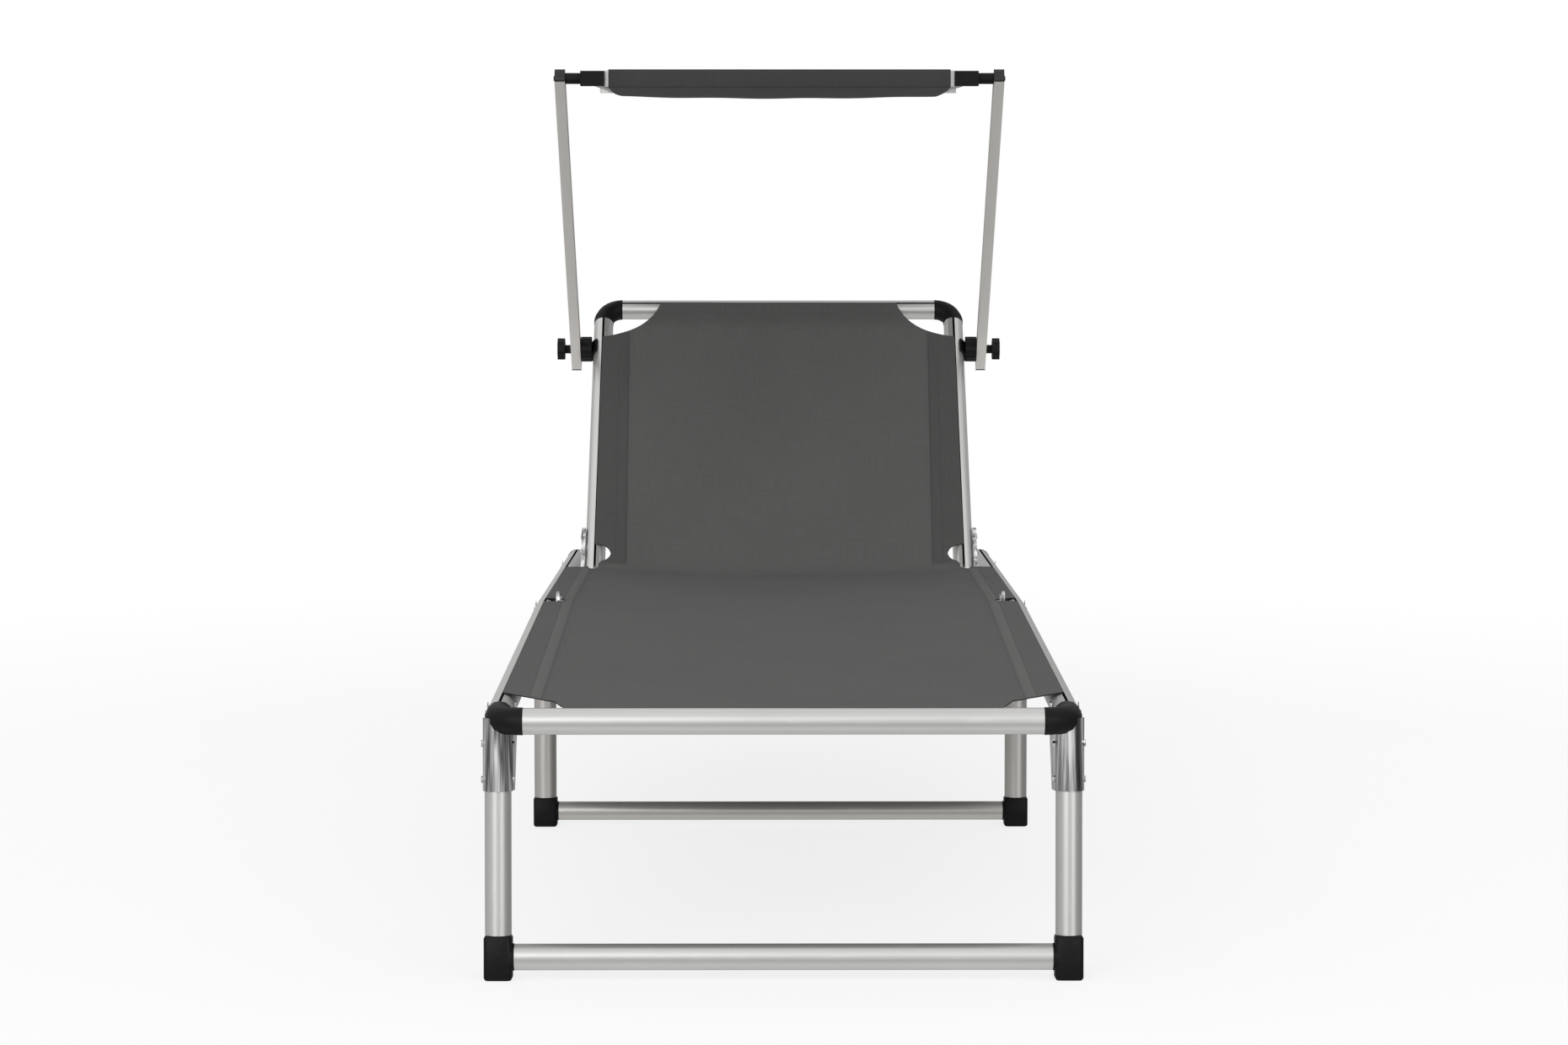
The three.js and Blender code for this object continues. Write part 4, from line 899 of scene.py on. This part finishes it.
def make_world():
    """White for the camera, a plain level as light, and the studio for glossy rays."""
    world = bpy.data.worlds.new("studio")
    scene.world = world
    tree = Tree(world)
    path = tree.node("ShaderNodeLightPath").outputs
    colour = tree.mix(tree.seen(path), grey(WORLD_LEVEL), grey(1.0))
    colour = tree.mix(path["Is Glossy Ray"], colour, studio_levels(tree))
    background = tree.node("ShaderNodeBackground", {"Color": colour, "Strength": 1.0})
    tree.node("ShaderNodeOutputWorld", {"Surface": background.outputs[0]})


def floor_material():
    """Pale matt floor that fades to white away from the lounger; glossy rays see the studio through it."""
    material, tree = new_material("pale_floor")
    place = tree.place()
    path = tree.node("ShaderNodeLightPath").outputs
    distance = tree.node("ShaderNodeVectorMath", {0: place}, operation="LENGTH").outputs["Value"]
    fade = tree.math("MULTIPLY", tree.span(distance, *FADE_REACH, *FADE_LEVELS), tree.seen(path))
    paint = tree.mix(tree.noise(place, FLOOR_BLOTCH_SCALE, 3.0), grey(FLOOR_LEVELS[0]), grey(FLOOR_LEVELS[1]))
    matt = tree.node("ShaderNodeBsdfDiffuse", {"Color": paint}).outputs[0]
    glow = tree.node("ShaderNodeEmission", {"Color": grey(1.0), "Strength": 1.0}).outputs[0]
    clear = tree.node("ShaderNodeBsdfTransparent").outputs[0]
    lit = tree.node("ShaderNodeMixShader", {0: fade, 1: matt, 2: glow}).outputs[0]
    both = tree.node("ShaderNodeMixShader", {0: path["Is Glossy Ray"], 1: lit, 2: clear})
    tree.node("ShaderNodeOutputMaterial", {"Surface": both.outputs[0]})
    return material


def make_floor():
    mesh = bpy.data.meshes.new("floor")
    corners = [(x * FLOOR_REACH, y * FLOOR_REACH, 0) for x, y in ((-1, -1), (1, -1), (1, 1), (-1, 1))]
    mesh.from_pydata(corners, [], [(0, 1, 2, 3)])
    mesh.materials.append(floor_material())
    floor = bpy.data.objects.new("floor", mesh)
    floor.location.z = -FLOOR_DROP
    scene.collection.objects.link(floor)


def make_lights():
    for name, place, power in LAMPS:
        data = bpy.data.lights.new(name, "AREA")
        data.shape = "RECTANGLE"
        data.size = LAMP_SIZE
        data.size_y = LAMP_SIZE
        data.energy = power
        lamp = bpy.data.objects.new(name, data)
        lamp.location = place
        lamp.rotation_euler = (Vector(LAMP_AIM) - Vector(place)).to_track_quat("-Z", "Y").to_euler()
        scene.collection.objects.link(lamp)


# CAD nodes that stay: smooth shading across their facets, and materials
SMOOTH_LIMIT_DEG = 42
WELD_REACH = 0.00001
SKIN_DEPTH = 0.0004
SKIN_FADE = 0.0008
END_REACH = 0.004
CAP_OVERLAP = 0.005
REAR_SOCKET = 0.013
PLUG_RIM = 0.0022
FRONT_LEVEL = 0.58
# Next level: painted shade, the middle and rear legs and crossbars as a darker copy of the same aluminium, as if
# under the sling
HIND_PAINTED_SHADE_LEVEL = 0.52
RAIL_LEVEL = 0.66
ARM_LEVEL = 0.64


def dress(node, material):
    piece = nodes[node]
    mesh = piece.data
    mesh.materials.clear()
    mesh.materials.append(material)
    if "custom_normal" in mesh.attributes:
        mesh.attributes.remove(mesh.attributes["custom_normal"])
    shade_smooth(mesh)
    weld = piece.modifiers.new("weld", "WELD")
    weld.merge_threshold = WELD_REACH
    split = piece.modifiers.new("edges", "EDGE_SPLIT")
    split.split_angle = math.radians(SMOOTH_LIMIT_DEG)


def straight_piece(node):
    """The axes of a long piece, longest first, and by them its points and the middles of its two ends."""
    mesh = nodes[node].data
    places = np.empty(len(mesh.vertices) * 3)
    mesh.vertices.foreach_get("co", places)
    places = places.reshape(-1, 3)
    _, _, axes = np.linalg.svd(places - places.mean(axis=0), full_matrices=False)
    points = places @ axes.T
    middles = []
    for end in (points[:, 0].min(), points[:, 0].max()):
        ring = points[abs(points[:, 0] - end) < END_REACH]
        middles.append((end, *(ring[:, 1:].min(axis=0) + ring[:, 1:].max(axis=0)) / 2))
    return axes, points, np.array(middles)


def length_direction(node):
    """Direction of a long piece, from the middles of its two ends."""
    axes, _, middles = straight_piece(node)
    return Vector((middles[1] - middles[0]) @ axes).normalized()


def mark_slot_shade(node):
    """Marks the points of a round tube that lie under its skin, in its slot and bore, for the painted shade there.
    """
    _, points, (start, end) = straight_piece(node)
    share = ((points[:, 0] - start[0]) / (end[0] - start[0]))[:, None]
    away = np.linalg.norm((points - start * (1 - share) - end * share)[:, 1:], axis=1)
    depth = away.max() - away
    point_values(nodes[node].data, "deep", np.clip((depth - SKIN_DEPTH) / SKIN_FADE, 0, 1))


def metal_materials():
    """The satin metals, by the names of the nodes that wear them, without left or right."""
    across = Vector((1, 0, 0))
    arm = (ROOF_PIVOT - CLAMP).normalized()
    rearward = (REAR_BAR - FRONT_BAR).normalized()
    arm_foot = min(point.co.dot(arm) for point in nodes["canopy_arm_left"].data.vertices)
    arm_caps = [(ROOF_PIVOT + arm * CAP_OVERLAP, arm), (arm * (arm_foot + PLUG_RIM), -arm)]
    bar_caps = [(REAR_BAR - rearward * REAR_SOCKET, rearward)]
    legs = {place: length_direction(f"{place}_leg_left") for place in ("front", "middle", "rear")}
    return {
        "crossbar": satin_metal("satin_crossbar", FRONT_LEVEL, across),
        "front_leg": satin_metal("satin_front_leg", FRONT_LEVEL, legs["front"]),
        # Middle and rear crossbars and legs: darker, warmer copies of the same aluminium, painted shade from the
        # sling and painted warm reflection
        "crossbar_in_shade": satin_metal("satin_crossbar_in_shade", HIND_PAINTED_SHADE_LEVEL, across, tint=WARM_REFLECTION_TINT),
        "middle_leg": satin_metal("satin_middle_leg_in_shade", HIND_PAINTED_SHADE_LEVEL, legs["middle"], tint=WARM_REFLECTION_TINT),
        "rear_leg": satin_metal("satin_rear_leg_in_shade", HIND_PAINTED_SHADE_LEVEL, legs["rear"], tint=WARM_REFLECTION_TINT),
        "foot_rail": satin_metal("satin_foot_rail", RAIL_LEVEL, line_direction(0)),
        "rear_rail": satin_metal("satin_rear_rail", RAIL_LEVEL, line_direction(-REAR_SLOPE)),
        "backrest_tube": satin_metal("satin_backrest_tube", RAIL_LEVEL, line_direction(BACK_ANGLE)),
        "canopy_bar": satin_metal("satin_canopy_bar", FRONT_LEVEL, across, FLAT_ROUGHNESS),
        # The arms' warmer tint is painted warm reflection
        "canopy_arm": satin_metal("satin_arm", ARM_LEVEL, arm, FLAT_ROUGHNESS, arm_caps, WARM_REFLECTION_TINT),
        "canopy_side_bar": satin_metal("satin_side_bar", FRONT_LEVEL, rearward, FLAT_ROUGHNESS, bar_caps),
    }


def dress_frame():
    """Gives every CAD node its material, apart from the cloths, which are replaced."""
    materials = metal_materials()
    materials["bright_steel"] = bright_steel()
    materials["black_plastic"] = moulded_plastic()
    for part in frame["record"]["subparts"]:
        node, slot = part["node"], part["material_slot"]
        if slot.endswith("_fabric"):
            continue
        kind = slot
        if slot == "tube_aluminium":
            # Marks the tube's slot and bore for painted shade
            mark_slot_shade(node)
            # The middle and rear crossbars take the copy with painted shade
            kind = "crossbar_in_shade" if node in ("middle_crossbar", "rear_crossbar") else "crossbar"
        elif slot == "flat_aluminium":
            kind = "canopy_bar"
        if slot.endswith("_aluminium") and node.endswith(("_left", "_right")):
            kind = node.rsplit("_", 1)[0]
        dress(node, materials[kind])


make_camera()
make_world()
make_floor()
make_lights()
dress_frame()
side_rows = [SEAT_STRIP[0] - SEAM_INSET, SEAT_STRIP[1] + SEAM_INSET]
top_row = sling_path.length - TOP_HEM / 2
make_sling(mesh_cloth("sling_fabric", SLING_LEVEL, SLING_PITCH, side_rows, [top_row]))
make_roof(mesh_cloth("canopy_fabric", CANOPY_LEVEL, CANOPY_PITCH, ROOF_STITCHES, []))

scene.view_settings.view_transform = "Standard"
